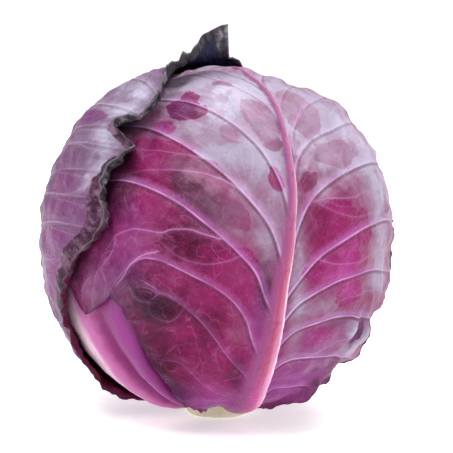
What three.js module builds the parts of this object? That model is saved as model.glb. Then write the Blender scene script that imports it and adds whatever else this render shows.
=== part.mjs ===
// A red cabbage head, upright on its cut stem.
// Millimetres, +Z up. The origin is the centre of the stem's cut face, and the front is -Y.
// The head is a ball of tightly packed inner leaves with four outer leaves laid over it, one over another.
import * as THREE from 'three';

// ---------------------------------------------------------------- driving sizes, mm and degrees
const HEAD_CENTRE_Z = 87;

// Distance from the head's centre to the outer face of the front leaf, by elevation in degrees.
const HEAD_PROFILE = [
  [-90, 76.0], [-80, 78.6], [-72, 82.0], [-64, 84.9], [-55, 86.7], [-42, 86.8],
  [-20, 86.4], [0, 86.2], [30, 86.2], [60, 85.8], [90, 85.6],
];
// Shallow swellings and hollows of the whole head: azimuth, elevation, height, spread in degrees.
const HEAD_SWELLINGS = [
  [85, 47, 3.2, 24], [105, 68, -4.2, 15], [80, -18, -1.8, 13], [82, -48, -2.4, 13],
  [-20, 25, 0.6, 26], [150, 10, -0.8, 34], [-105, -5, -0.9, 26],
];

// Inner face of each layer, measured outward from the front leaf's outer face.
const BLADE = 1.3;
const BALL_LEVEL = -4.6;
const UNDER_LEVEL = -3.9;
const FRONT_LEVEL = -1.3;
const OUTER_LEVEL = 1.0;
// Behind the head the outer leaf has no front leaf under it and sinks by this much.
const OUTER_SINK = 2.0;
const SINK_FROM = 0.1;
const SINK_FULL = 0.75;

const STUMP_RADIUS = 16.4;
const STUMP_HEIGHT = 9.6;
const STUMP_SIDES = 28;

// The margins' waves: where along a row they start, how fast they grow, and how they repeat along the leaf.
const WAVE_FROM = 0.55;
const WAVE_GROWTH = 1.5;
const WAVE_TURNS = [4.3, 8.9];
const WAVE_SHARES = [1, 0.45];
const WAVE_PHASE = { left: 1.1, right: 0.2 };

const DEG = Math.PI / 180;
const MM_PER_DEG = 86 * DEG;

// ---------------------------------------------------------------- small maths
const clamp = (v, lo, hi) => Math.min(hi, Math.max(lo, v));
const mix = (a, b, k) => a + (b - a) * k;
function smooth(a, b, v) {
  const k = clamp((v - a) / (b - a), 0, 1);
  return k * k * (3 - 2 * k);
}

// A smooth curve through evenly numbered values: at(list, 2.5) lies half way from the third to the fourth.
function at(list, t) {
  const last = list.length - 1;
  const i = clamp(Math.floor(t), 0, last - 1);
  const k = clamp(t - i, 0, 1);
  const p = [list[Math.max(i - 1, 0)], list[i], list[i + 1], list[Math.min(i + 2, last)]];
  const cubic = (a, b, c, d) =>
    0.5 * (2 * b + (c - a) * k + (2 * a - 5 * b + 4 * c - d) * k * k + (3 * b - a - 3 * c + d) * k * k * k);
  if (typeof p[0] === 'number') return cubic(...p);
  return p[0].map((_, n) => cubic(p[0][n], p[1][n], p[2][n], p[3][n]));
}

function byElevation(table, el) {
  let n = 0;
  while (n < table.length - 2 && el > table[n + 1][0]) n += 1;
  const k = clamp((el - table[n][0]) / (table[n + 1][0] - table[n][0]), 0, 1);
  return at(table.map((row) => row[1]), n + k);
}

function direction(az, el) {
  const across = Math.cos(el * DEG);
  return new THREE.Vector3(across * Math.sin(az * DEG), -across * Math.cos(az * DEG), Math.sin(el * DEG));
}
const SWELLINGS = HEAD_SWELLINGS.map(([az, el, height, spread]) => ({ d: direction(az, el), height, spread }));

// Radius of the front leaf's outer face in a direction.
function headRadius(d) {
  let r = byElevation(HEAD_PROFILE, Math.asin(clamp(d.z, -1, 1)) / DEG);
  for (const s of SWELLINGS) {
    const off = d.angleTo(s.d) / DEG / s.spread;
    r += s.height * Math.exp(-off * off);
  }
  return r;
}

// ---------------------------------------------------------------- a leaf laid on the head
// A leaf is drawn flat, in degrees across and up the ball from its own centre. Its stations run along the
// midrib from stalk to tip. Each has a row of points out to the left margin and one to the right, and the
// rows with a rib height carry a side rib. The margin can lift, roll outward and wave.
const SAMPLES = 16;
const SAMPLE_STEPS = 8;
// A short way back along a row, to read its slope.
const ROW_STEP = 0.04;
const LEAST_ROLL = 0.5;
const LEAST_BEND = 1;

function resample(points) {
  const fine = [];
  for (let i = 0; i <= (points.length - 1) * SAMPLE_STEPS; i += 1) fine.push(at(points, i / SAMPLE_STEPS));
  const length = [0];
  for (let i = 1; i < fine.length; i += 1) {
    length.push(length[i - 1] + Math.hypot(fine[i][0] - fine[i - 1][0], fine[i][1] - fine[i - 1][1]));
  }
  const total = length[length.length - 1];
  const out = [];
  let n = 0;
  for (let i = 0; i <= SAMPLES; i += 1) {
    const goal = (total * i) / SAMPLES;
    while (n < fine.length - 2 && length[n + 1] < goal) n += 1;
    const k = (goal - length[n]) / (length[n + 1] - length[n] || 1);
    out.push([mix(fine[n][0], fine[n + 1][0], k), mix(fine[n][1], fine[n + 1][1], k)]);
  }
  return out;
}

class Leaf {
  constructor(plan) {
    this.plan = plan;
    const [az, el] = plan.centre;
    this.c = direction(az, el);
    this.s = new THREE.Vector3(Math.cos(az * DEG), Math.sin(az * DEG), 0);
    this.u = new THREE.Vector3().crossVectors(this.c, this.s).negate();
    if (this.u.z < 0) this.u.negate();
    this.last = plan.stations.length - 1;
    this.rows = {};
    this.edge = {};
    for (const side of ['left', 'right']) {
      this.rows[side] = plan.stations.map((st) => resample([st.mid, ...st[side]]));
      for (const key of ['lift', 'roll', 'bend', 'wave', 'rib']) {
        this.edge[`${key}_${side}`] = plan.stations.map((st) => (st[key] ? st[key][side === 'left' ? 0 : 1] : 0));
      }
    }
    this.raise = plan.stations.map((st) => st.raise || 0);
  }

  // Flat position of station t, a share w of the way out.
  flat(side, t, w) {
    const v = clamp(w, 0, 1) * SAMPLES;
    const rows = this.rows[side];
    const n = clamp(Math.floor(t), 0, this.last - 1);
    const near = [n - 1, n, n + 1, n + 2].map((i) => at(rows[clamp(i, 0, this.last)], v));
    return at(near, 1 + t - n);
  }

  toward([x, y]) {
    const rho = Math.hypot(x, y) * DEG;
    const k = rho < 1e-6 ? 1 : Math.sin(rho) / rho;
    return new THREE.Vector3()
      .addScaledVector(this.c, Math.cos(rho))
      .addScaledVector(this.s, k * x * DEG)
      .addScaledVector(this.u, k * y * DEG)
      .normalize();
  }

  value(key, side, t) {
    return at(this.edge[`${key}_${side}`], t);
  }

  rowLength(side, t) {
    const [x0, y0] = this.flat(side, t, 0);
    const [x1, y1] = this.flat(side, t, 0.5);
    const [x2, y2] = this.flat(side, t, 1);
    return (Math.hypot(x1 - x0, y1 - y0) + Math.hypot(x2 - x1, y2 - y1)) * MM_PER_DEG;
  }

  // Point on the blade before it rolls, at a height over the inner face.
  blade(side, t, w, height) {
    const d = this.toward(this.flat(side, t, w));
    const lift = mix(at(this.raise, t), this.value('lift', side, t), smooth(this.plan.liftFrom, 1, w));
    const ripple = this.ripple(side, t) * smooth(WAVE_FROM, 1, w) ** WAVE_GROWTH;
    const r = headRadius(d) + this.plan.level(d) + lift + ripple + height;
    return d.multiplyScalar(r).add(new THREE.Vector3(0, 0, HEAD_CENTRE_Z));
  }

  ripple(side, t) {
    const size = Math.max(this.value('wave', side, t), 0);
    const phase = WAVE_PHASE[side];
    const long = WAVE_SHARES[0] * (1 + Math.sin(WAVE_TURNS[0] * t + phase));
    const short = WAVE_SHARES[1] * Math.sin(WAVE_TURNS[1] * t + 2 * phase);
    return (size * (long + short)) / 2;
  }

  // Share of the row that lies on the head: the rest is taken up by the roll of the margin.
  hold(side, t) {
    const roll = this.value('roll', side, t);
    const bend = clamp(this.value('bend', side, t), 0, 90);
    return 1 - (roll * Math.sin(bend * DEG)) / this.rowLength(side, t);
  }

  // w runs from 0 at the midrib to 1 where the roll starts, and on to 2 at the very edge.
  point(side, t, w, height) {
    const hold = this.hold(side, t);
    if (w <= 1) return this.blade(side, t, w * hold, height);
    const roll = Math.max(this.value('roll', side, t), LEAST_ROLL);
    const bend = Math.max(this.value('bend', side, t), LEAST_BEND) * DEG * (w - 1);
    const start = this.blade(side, t, hold, 0);
    const before = this.blade(side, t, hold - ROW_STEP, 0);
    const run = start.clone().sub(before).normalize();
    const out = start.clone().sub(new THREE.Vector3(0, 0, HEAD_CENTRE_Z)).normalize();
    out.addScaledVector(run, -out.dot(run)).normalize();
    return start
      .addScaledVector(run, roll * Math.sin(bend) - height * Math.sin(bend))
      .addScaledVector(out, roll * (1 - Math.cos(bend)) + height * Math.cos(bend));
  }
}

// Half width of a side rib in mm, at the midrib and at the margin, and its limits as a share of a station.
const RIB_FOOT = [2.2, 1.5];
const FOOT_LIMITS = [0.06, 0.3];
const FOOT_PROBE = 0.25;
// What is left of a side rib's height where the roll starts, and of the blade's thickness at the margin.
const RIB_TAPER = 0.25;
const BLADE_TAPER = 0.75;
// The midrib's section: share of its half width, share of its height.
const BAR_SECTION = [[0, 1], [0.5, 0.9], [0.82, 0.55], [1, 0]];
// The midrib's half width is looked for no further out than this share of a row.
const BAR_REACH = 0.6;
const BAR_HALVINGS = 9;

// Rows of the mesh: each station, both feet of its rib, and half way to the next.
function rowPlaces(leaf) {
  const places = [];
  for (let j = 0; j <= leaf.last; j += 1) {
    const ribbed = ['left', 'right'].some((side) => leaf.edge[`rib_${side}`][j] > 0);
    if (ribbed && j > 0) places.push({ j, foot: -1 });
    places.push({ j, foot: 0 });
    if (ribbed && j < leaf.last) places.push({ j, foot: 1 });
    if (j < leaf.last) places.push({ j, foot: 2 });
  }
  return places;
}

// Station number of a mesh row at a share w of the way out. The feet keep a fixed distance from the rib.
function stationAt(leaf, side, place, w) {
  if (place.foot === 0) return place.j;
  if (place.foot === 2) return place.j + 0.5;
  const next = place.j + place.foot * FOOT_PROBE;
  const a = leaf.point(side, place.j, w, 0);
  const b = leaf.point(side, next, w, 0);
  const span = a.distanceTo(b) / FOOT_PROBE;
  const foot = mix(RIB_FOOT[0], RIB_FOOT[1], w / 2);
  return place.j + place.foot * clamp(foot / span, FOOT_LIMITS[0], FOOT_LIMITS[1]);
}

// The midrib stands proud in a rounded bar that narrows to the tip; the side ribs taper to the margin.
function relief(leaf, side, place, t, w, midribShare) {
  const { height } = leaf.plan.midrib;
  const bar = at(height, (t / leaf.last) * (height.length - 1)) * midribShare;
  if (place.foot !== 0) return bar;
  const rib = leaf.edge[`rib_${side}`][place.j] * (1 - midribShare) * mix(1, RIB_TAPER, clamp(w, 0, 1));
  return bar + (w > 1 ? rib * (2 - w) : rib);
}

// Share of the row at which it has moved a distance away from the midrib.
function shareAt(leaf, side, t, distance) {
  const mids = leaf.plan.stations.map((st) => st.mid);
  const gapAt = (w) => {
    const [x, y] = leaf.flat(side, t, w);
    let gap = Infinity;
    for (let i = 0; i <= leaf.last * 8; i += 1) {
      const [mx, my] = at(mids, i / 8);
      gap = Math.min(gap, Math.hypot(x - mx, y - my) * MM_PER_DEG);
    }
    return gap;
  };
  let low = 0;
  let high = BAR_REACH;
  for (let n = 0; n < BAR_HALVINGS; n += 1) {
    const w = (low + high) / 2;
    if (gapAt(w) < distance) low = w;
    else high = w;
  }
  return high;
}

function leafGeometry(plan) {
  const leaf = new Leaf(plan);
  const places = rowPlaces(leaf);
  const { width } = plan.midrib;
  const outer = [];
  const inner = [];
  for (const place of places) {
    const outerRow = [];
    const innerRow = [];
    for (const side of ['left', 'right']) {
      const half = at(width, (clamp(place.j, 0, leaf.last) / leaf.last) * (width.length - 1)) / 2;
      const footShare = shareAt(leaf, side, stationAt(leaf, side, place, 0), half);
      const columns = BAR_SECTION.map(([out, up]) => [footShare * out, up]);
      for (let i = 1; i <= plan.columns; i += 1) columns.push([mix(footShare, 1, i / plan.columns), 0]);
      for (let i = 1; i <= plan.rollColumns; i += 1) columns.push([1 + i / plan.rollColumns, 0]);
      const rowOuter = [];
      const rowInner = [];
      for (const [w, midribShare] of columns) {
        const t = midribShare === 1 ? stationAt(leaf, 'left', place, 0) : stationAt(leaf, side, place, w);
        const blade = BLADE * mix(1, BLADE_TAPER, clamp(w, 0, 1));
        rowOuter.push(leaf.point(side, t, w, blade + relief(leaf, side, place, t, w, midribShare)));
        rowInner.push(leaf.point(side, t, w, 0));
      }
      if (side === 'left') {
        outerRow.push(...rowOuter.reverse());
        innerRow.push(...rowInner.reverse());
      } else {
        outerRow.push(...rowOuter.slice(1));
        innerRow.push(...rowInner.slice(1));
      }
    }
    outer.push(outerRow);
    inner.push(innerRow);
  }
  return sheet(outer, inner);
}

// Closed solid between two like grids of points, split into triangles alike on both faces.
function sheet(outer, inner) {
  const rows = outer.length;
  const cols = outer[0].length;
  const positions = [];
  for (const grid of [outer, inner]) {
    for (const row of grid) for (const p of row) positions.push(p.x, p.y, p.z);
  }
  const index = [];
  const id = (layer, r, c) => (layer * rows + r) * cols + c;
  for (let r = 0; r < rows - 1; r += 1) {
    for (let c = 0; c < cols - 1; c += 1) {
      const a = id(0, r, c);
      const b = id(0, r, c + 1);
      const d = id(0, r + 1, c);
      const e = id(0, r + 1, c + 1);
      const shift = rows * cols;
      index.push(a, b, e, a, e, d);
      index.push(a + shift, e + shift, b + shift, a + shift, d + shift, e + shift);
    }
  }
  const rim = [];
  for (let c = 0; c < cols; c += 1) rim.push([0, c]);
  for (let r = 1; r < rows; r += 1) rim.push([r, cols - 1]);
  for (let c = cols - 2; c >= 0; c -= 1) rim.push([rows - 1, c]);
  for (let r = rows - 2; r > 0; r -= 1) rim.push([r, 0]);
  rim.forEach(([r, c], n) => {
    const [r2, c2] = rim[(n + 1) % rim.length];
    index.push(id(0, r, c), id(1, r, c), id(1, r2, c2), id(0, r, c), id(1, r2, c2), id(0, r2, c2));
  });
  const geometry = new THREE.BufferGeometry();
  geometry.setAttribute('position', new THREE.Float32BufferAttribute(positions, 3));
  geometry.setIndex(index);
  geometry.computeVertexNormals();
  return geometry;
}

// ---------------------------------------------------------------- the four outer leaves
const upright = (level) => () => level;

// Front leaf: a broad midrib a little right of centre, ribs sweeping up to both sides, a torn lower-left
// margin and a ruffled lower-right one.
const FRONT_LEAF = {
  centre: [20, 0],
  level: upright(FRONT_LEVEL),
  liftFrom: 0.72,
  columns: 7,
  rollColumns: 2,
  midrib: { width: [20, 18.5, 14.5, 11.2, 8.8, 6.4, 5.4, 5, 4], height: [3.4, 3.6, 3.2, 2.8, 2.4, 2.0, 1.6, 1.0, 0.3] },
  stations: [
    { mid: [-1, -76.2], left: [[-5, -77], [-8, -79]], right: [[2.5, -76.2], [8, -78.6]],
      roll: [6, 6], bend: [10, 10], lift: [1.0, 0] },
    { mid: [-1.8, -66], left: [[-13, -65], [-22, -61]], right: [[4, -64], [12, -61]],
      roll: [6, 5], bend: [12, 25], lift: [2.6, 3.0], wave: [0, 2.2] },
    { mid: [-3, -54], left: [[-14, -49], [-21, -44], [-30, -35], [-40, -34]],
      right: [[1, -51], [5, -47], [14, -48], [27, -51]],
      rib: [0.9, 1.0], roll: [5, 4], bend: [25, 35], lift: [1.5, 2.2], wave: [0.8, 3.0] },
    { mid: [-3.6, -43], left: [[-13, -33], [-23, -20], [-30, -13], [-39, -9], [-46, -9], [-51, -14]],
      right: [[0, -39], [4, -34], [12, -33], [24, -35], [42, -42]],
      rib: [0.8, 1.1], roll: [4, 4], bend: [40, 40], lift: [2.2, 0.5], wave: [0.8, 3.6] },
    { mid: [-3.5, -33], left: [[-8, -25], [-11, -17], [-17, -10], [-25, -5], [-39, 1], [-47, -2], [-56, -16]],
      right: [[-1, -30], [4, -23], [13, -20], [25, -20], [40, -24], [53, -29]],
      rib: [1.0, 1.1], roll: [4, 4], bend: [25, 40], lift: [1.8, 0.2], wave: [0.5, 3.8] },
    { mid: [-3.2, -25], left: [[-8, -14], [-12, -5], [-19, 3], [-28, 8], [-38, 8], [-50, 4], [-59, -6], [-68, -23]],
      right: [[0, -20], [4, -14], [12, -10], [22, -7], [38, -6], [58, -11]],
      rib: [0, 1.2], roll: [5, 4], bend: [10, 40], lift: [0.6, 0.1], wave: [0, 2.8] },
    { mid: [-2.6, -17], left: [[-6, -10], [-8, -4], [-13, 2], [-19, 8], [-27, 15], [-35, 21], [-50, 27], [-66, 24],
      [-79, 8]],
      right: [[1, -11], [5, -6], [11, 0], [21, 5], [36, 9], [52, 10], [68, 5]],
      rib: [1.3, 1.3], roll: [6, 3.5], bend: [8, 45], lift: [0, 0.2], wave: [0, 1.0] },
    { mid: [-1.7, -9], left: [[-4, 0], [-8, 9], [-16, 18], [-27, 26], [-40, 32], [-58, 36], [-74, 33], [-84, 24]],
      right: [[3, -1], [9, 6], [18, 11], [31, 15], [46, 18], [64, 18], [80, 13]],
      roll: [6, 6], bend: [8, 30], wave: [0, 1.0] },
    { mid: [-0.7, -2], left: [[-2, 4], [-4, 10], [-8, 16], [-14, 24], [-22, 32], [-31, 40], [-42, 48], [-60, 52],
      [-82, 44]],
      right: [[3, 6], [6, 12], [10, 18], [20, 24], [31, 28], [45, 31], [66, 32], [86, 26]],
      rib: [1.3, 1.3], roll: [6, 6], bend: [8, 15], wave: [0, 0.6] },
    { mid: [1.9, 12], left: [[1, 20], [-1, 28], [-4, 35], [-9, 42], [-16, 50], [-25, 57], [-38, 62], [-56, 66],
      [-74, 62]],
      right: [[4, 21], [8, 31], [16, 38], [26, 42], [40, 47], [60, 50], [84, 46]],
      rib: [1.2, 1.1], roll: [6, 6], bend: [8, 12] },
    { mid: [4, 26], left: [[3, 36], [0, 45], [-6, 54], [-15, 64], [-28, 72], [-44, 77], [-60, 78]],
      right: [[7, 36], [12, 45], [21, 53], [36, 60], [54, 65], [74, 65]],
      rib: [0, 0.9], roll: [6, 6], bend: [8, 12] },
    { mid: [5.4, 41], left: [[4, 50], [0, 58], [-7, 67], [-17, 76], [-30, 83], [-43, 89]],
      right: [[9, 53], [17, 62], [28, 70], [42, 77], [58, 81]],
      rib: [0.9, 0.6], roll: [6, 6], bend: [8, 15], wave: [0, 0.6] },
    { mid: [6.2, 60], left: [[2, 69], [-5, 78], [-15, 87], [-26, 95]],
      right: [[9, 69], [17, 78], [28, 86], [40, 92]],
      rib: [0.5, 0.5], roll: [6, 6], bend: [8, 20], wave: [0, 0.8] },
    { mid: [4, 80], left: [[-1, 87], [-7, 95], [-13, 101]], right: [[7, 87], [14, 95], [22, 101]],
      roll: [6, 6], bend: [10, 20], wave: [0, 0.8] },
    { mid: [2.5, 97], left: [[-1, 101], [-4, 104]], right: [[5, 101], [9, 104]],
      roll: [6, 6], bend: [10, 15] },
  ],
};

// Outer leaf: wraps the left side and the back. Its front margin rolls outward all the way down, and its tip
// stands off the top of the head in a hood with a pointed crest.
const OUTER_LEAF = {
  centre: [-115, 0],
  level: (d) => OUTER_LEVEL - OUTER_SINK * smooth(SINK_FROM, SINK_FULL, d.y * (1 - Math.abs(d.z))),
  liftFrom: 0.35,
  columns: 6,
  rollColumns: 4,
  midrib: { width: [19, 17, 13, 10, 8, 6.5, 5.5, 4.5, 4], height: [4.0, 4.0, 3.4, 2.8, 2.3, 1.8, 1.2, 0.6, 0.3] },
  stations: [
    { mid: [-2, -76.2], left: [[-6, -77.2], [-10, -80]], right: [[2.5, -76.2], [8, -78.6]],
      roll: [5, 5], bend: [10, 12] },
    { mid: [-3, -70], left: [[-10, -68], [-18, -67]], right: [[5, -67], [14, -64], [28, -60]],
      roll: [6, 5], bend: [15, 45], lift: [0.5, 2.0] },
    { mid: [-4, -62], left: [[-14, -57], [-24, -54], [-33, -54]], right: [[8, -56], [22, -50], [36, -46], [45, -44]],
      roll: [6, 5], bend: [20, 60], lift: [1, 1.6], wave: [1.0, 0.6] },
    { mid: [-4, -52], left: [[-16, -43], [-30, -40], [-46, -42]],
      right: [[10, -43], [28, -33], [45, -27], [57, -24]],
      rib: [0.9, 0.9], roll: [6, 5], bend: [25, 75], lift: [1, 1.2], wave: [1.6, 0.8] },
    { mid: [-5, -42], left: [[-18, -28], [-36, -22], [-57, -27]],
      right: [[5, -32], [20, -18], [36, -8], [53, -3], [71, -2]],
      rib: [1.0, 1.1], roll: [5, 5], bend: [25, 100], lift: [1, 1.4], wave: [1.8, 0.8] },
    { mid: [-6, -28], left: [[-18, -13], [-36, -4], [-56, -4], [-68, -11]],
      right: [[4, -17], [18, -3], [32, 5], [47, 9], [60, 11], [82, 12]],
      rib: [1.1, 1.1], roll: [5, 5.2], bend: [25, 110], lift: [0.6, 2.0], wave: [1.6, 0.8] },
    { mid: [-6, -15], left: [[-18, 2], [-36, 12], [-58, 14], [-75, 7]],
      right: [[4, -3], [16, 8], [30, 15], [45, 19], [59, 21], [79, 24]],
      rib: [1.2, 1.1], roll: [5, 5.2], bend: [25, 112], lift: [0.6, 2.0], wave: [1.4, 0.8] },
    { mid: [-6, -3], left: [[-17, 14], [-34, 26], [-56, 30], [-78, 23]],
      right: [[2, 6], [12, 14], [22, 19], [33, 22], [46, 28], [58, 31], [74, 35]],
      rib: [1.2, 1.1], raise: 0.4, roll: [5, 4.8], bend: [25, 115], lift: [0.8, 2.0], wave: [1.2, 0.9] },
    { mid: [-6, 4], left: [[-17, 21], [-34, 34], [-55, 39], [-78, 35]],
      right: [[3, 14], [15, 24], [29, 32], [42, 37], [56, 41], [76, 46]],
      rib: [0, 0.8], raise: 1.0, roll: [5, 4.2], bend: [25, 120], lift: [0.8, 2.4], wave: [1.2, 0.9] },
    { mid: [-6, 13], left: [[-16, 30], [-32, 43], [-52, 49], [-75, 46]],
      right: [[4, 23], [15, 30], [27, 36], [37, 41], [48, 46], [61, 51]],
      rib: [1.1, 1.0], raise: 1.8, roll: [5, 3.4], bend: [25, 120], lift: [0.8, 3.2], wave: [1.2, 0.6] },
    { mid: [-5, 25], left: [[-14, 42], [-28, 54], [-46, 61], [-67, 60]],
      right: [[3, 35], [12, 43], [24, 49], [40, 55], [52, 58], [67, 59]],
      rib: [1.0, 1.0], raise: 2.5, roll: [5, 6.0], bend: [25, 98], lift: [0.8, 3.0], wave: [1.2, 0.5] },
    { mid: [-5, 41], left: [[-12, 55], [-24, 66], [-38, 72], [-56, 71]],
      right: [[3, 53], [14, 62], [28, 67], [42, 70], [57, 69]],
      rib: [0.8, 0.7], raise: 2.6, roll: [5, 6.2], bend: [25, 95], lift: [1.0, 3.0], wave: [1.2, 0.3] },
    { mid: [-6, 57], left: [[-12, 67], [-22, 75], [-34, 80], [-46, 80]],
      right: [[2, 66], [12, 72], [25, 76], [43, 76]],
      rib: [0.5, 0.5], raise: 2.4, roll: [5, 4.4], bend: [25, 105], lift: [1.2, 3.2], wave: [1.0, 0.3] },
    { mid: [-9, 70], left: [[-15, 77], [-24, 82], [-37, 85]], right: [[-1, 76], [10, 79], [29, 78]],
      raise: 1.6, roll: [5, 3.0], bend: [20, 125], lift: [1.2, 1.0], wave: [0.8, 0.4] },
    { mid: [-13, 79], left: [[-19, 83], [-26, 86], [-33, 88]], right: [[-6, 82], [2, 84], [11, 84.5]],
      raise: 2.4, roll: [5, 3.0], bend: [20, 125], lift: [1.2, 4.2], wave: [0.4, 0.4] },
    { mid: [-14, 85], left: [[-20, 87], [-25, 88], [-30, 89.5]], right: [[-9, 86.3], [-5, 87], [0, 87.5]],
      raise: 4.5, roll: [5, 2.8], bend: [15, 100], lift: [1.2, 12.5] },
    { mid: [-14, 89.5], left: [[-18.5, 90], [-25, 90.3]], right: [[-11.5, 89.4], [-9, 89.3]],
      raise: 5.5, roll: [4, 1.6], bend: [10, 40], lift: [0.6, 23.5] },
  ],
};

// Rows of a plain, even leaf: each side rib leaves the midrib and bends up to the margin.
const EVEN_SHARES = [0.35, 0.7, 1];
const EVEN_SWEEP = 1.8;
function evenStations(list) {
  return list.map(([along, reach, top, rib, lift, wave]) => {
    const point = (sign, k) => [sign * reach * k, mix(along, top, 1 - (1 - k) ** EVEN_SWEEP)];
    const row = (sign) => EVEN_SHARES.map((k) => point(sign, k));
    return {
      mid: [0, along], left: row(-1), right: row(1), rib: [rib, rib],
      roll: [6, 6], bend: [12, 12], lift: [lift, lift], wave: [wave, wave],
    };
  });
}

// Back leaf: lies under the front leaf's right edge and the outer leaf's back edge.
const BACK_LEAF = {
  centre: [139, 0],
  level: upright(UNDER_LEVEL),
  liftFrom: 0.6,
  columns: 5,
  rollColumns: 1,
  midrib: { width: [18, 16, 12, 9, 7, 5.5, 4.5], height: [3.6, 3.4, 2.4, 1.4, 1.0, 0.8, 0.3] },
  stations: evenStations([
    [-76.2, 9, -79, 0, 0, 0], [-66, 30, -62, 0, 0, 0], [-54, 49, -47, 0.6, 0, 0], [-40, 63, -31, 0.8, 0, 0],
    [-24, 70, -12, 0.9, 0, 0], [-8, 71, 8, 0.9, 0, 0], [9, 67, 28, 0.9, 0, 0], [27, 57, 47, 0.8, 0, 0],
    [46, 42, 64, 0.6, 0, 0], [64, 24, 76, 0.4, 0, 0], [76, 9, 82, 0, 0, 0],
  ]),
};

// Inner leaf: seen low on the left between the outer and front leaves. A thick pale midrib and two swollen
// side ribs run up from the stem side by side, with deep grooves between them.
// Each row holds degrees across at the left margin, left blade, left foot, midrib, groove, first side rib,
// groove, second side rib, its foot, right blade and right margin.
const INNER_LEAF = {
  centre: [-40, -40],
  ups: [-36.5, -29, -20, -12, -4, 4, 12, 19, 26, 33],
  across: [
    [-6, -4, -2, 3, 5, 7, 8, 9, 10, 11, 12],
    [-15, -9, -3, 3, 6.5, 8.5, 10, 11.3, 12.5, 14, 16],
    [-22, -13, -4, 2.5, 7.5, 10.5, 12.5, 14, 16, 20, 25],
    [-27, -17, -7.5, -1, 5.5, 10, 12, 13.7, 15.5, 21, 28],
    [-31, -20, -9, -3, 4, 9, 11.5, 13.2, 15, 22, 30],
    [-33, -22, -11, -5, 2, 8, 11.3, 13, 15, 22, 31],
    [-34, -24, -14, -8.5, 0, 7.5, 11.5, 13, 15, 22, 31],
    [-34, -26, -18, -12, -1, 6, 10.5, 12.5, 15, 21, 29],
    [-33, -27, -21, -15, -2, 5, 9.5, 12, 14.5, 19, 25],
    [-30, -26, -22, -17, -4, 3, 7, 10, 12.5, 16, 20],
  ],
  // Height of the midrib, the first and the second side rib at each of those rows.
  ribs: [
    [3.6, 1.2, 0.3], [4.4, 1.8, 0.5], [5.0, 3.0, 1.2], [5.2, 4.0, 2.3], [5.2, 4.2, 2.4],
    [4.6, 4.0, 2.3], [3.2, 3.2, 1.8], [1.7, 1.8, 0.9], [0.8, 0.8, 0.4], [0.2, 0.2, 0.2],
  ],
};
const RIB_COLUMNS = [3, 5, 7];
const RIB_ROUNDNESS = 0.8;

function innerLeafGeometry(plan) {
  const leaf = new Leaf({
    ...plan, level: upright(UNDER_LEVEL), liftFrom: 0.5,
    stations: [0, 1].map((y) => ({ mid: [0, y], left: [[-1, y]], right: [[1, y]] })),
  });
  const outer = [];
  const inner = [];
  for (let r = 0; r <= plan.ups.length - 1; r += 0.5) {
    const y = at(plan.ups, r);
    const across = at(plan.across, r);
    const ribs = at(plan.ribs, r);
    const outerRow = [];
    const innerRow = [];
    for (let c = 0; c <= across.length - 1; c += 0.5) {
      const d = leaf.toward([at(across, c), y]);
      let height = BLADE;
      RIB_COLUMNS.forEach((column, n) => {
        height += ribs[n] * Math.cos(clamp(Math.abs(c - column), 0, 1) * 90 * DEG) ** RIB_ROUNDNESS;
      });
      const base = headRadius(d) + UNDER_LEVEL;
      const centre = new THREE.Vector3(0, 0, HEAD_CENTRE_Z);
      outerRow.push(d.clone().multiplyScalar(base + height).add(centre));
      innerRow.push(d.clone().multiplyScalar(base).add(centre));
    }
    outer.push(outerRow);
    inner.push(innerRow);
  }
  return sheet(outer, inner);
}

// ---------------------------------------------------------------- ball of inner leaves and stem
// The packed leaves overlap round the ball like the petals of a bud, each a step proud of the next.
const BALL_TURNS = 26;
const BALL_RINGS = 16;
const BALL_LEAVES = 5;
const BALL_STEP = 1.1;
const BALL_SLANT = 0.6;

function ballGeometry() {
  const positions = [];
  const index = [];
  const put = (az, el) => {
    const d = direction(az, el);
    const turn = ((az + el * BALL_SLANT + 720) * BALL_LEAVES) / 360;
    const step = BALL_STEP * (turn - Math.floor(turn)) * Math.cos(el * DEG);
    d.multiplyScalar(headRadius(d) + BALL_LEVEL - step);
    positions.push(d.x, d.y, d.z + HEAD_CENTRE_Z);
  };
  put(0, -90);
  for (let r = 1; r < BALL_RINGS; r += 1) {
    for (let c = 0; c < BALL_TURNS; c += 1) put((c * 360) / BALL_TURNS, -90 + (r * 180) / BALL_RINGS);
  }
  put(0, 90);
  const top = positions.length / 3 - 1;
  const id = (r, c) => 1 + (r - 1) * BALL_TURNS + (c % BALL_TURNS);
  for (let c = 0; c < BALL_TURNS; c += 1) {
    index.push(0, id(1, c + 1), id(1, c), top, id(BALL_RINGS - 1, c), id(BALL_RINGS - 1, c + 1));
    for (let r = 1; r < BALL_RINGS - 1; r += 1) {
      index.push(id(r, c), id(r, c + 1), id(r + 1, c + 1), id(r, c), id(r + 1, c + 1), id(r + 1, c));
    }
  }
  const geometry = new THREE.BufferGeometry();
  geometry.setAttribute('position', new THREE.Float32BufferAttribute(positions, 3));
  geometry.setIndex(index);
  geometry.computeVertexNormals();
  return geometry;
}

// Cut stem: a short, slightly ridged and flared stub with a flat face to stand on.
function stumpGeometry() {
  const outline = new THREE.Shape();
  for (let n = 0; n < STUMP_SIDES; n += 1) {
    const a = (n / STUMP_SIDES) * 2 * Math.PI;
    const r = STUMP_RADIUS + 0.35 * Math.sin(5 * a + 0.6) + 0.25 * Math.sin(3 * a);
    if (n === 0) outline.moveTo(r * Math.cos(a), r * Math.sin(a));
    else outline.lineTo(r * Math.cos(a), r * Math.sin(a));
  }
  return new THREE.ExtrudeGeometry(outline, { depth: STUMP_HEIGHT, bevelEnabled: false, steps: 1 });
}

// ---------------------------------------------------------------- assembly
const group = new THREE.Group();

function add(name, geometry, color, roughness) {
  const mesh = new THREE.Mesh(geometry, new THREE.MeshStandardMaterial({ color, roughness, metalness: 0 }));
  mesh.name = name;
  group.add(mesh);
}

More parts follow.
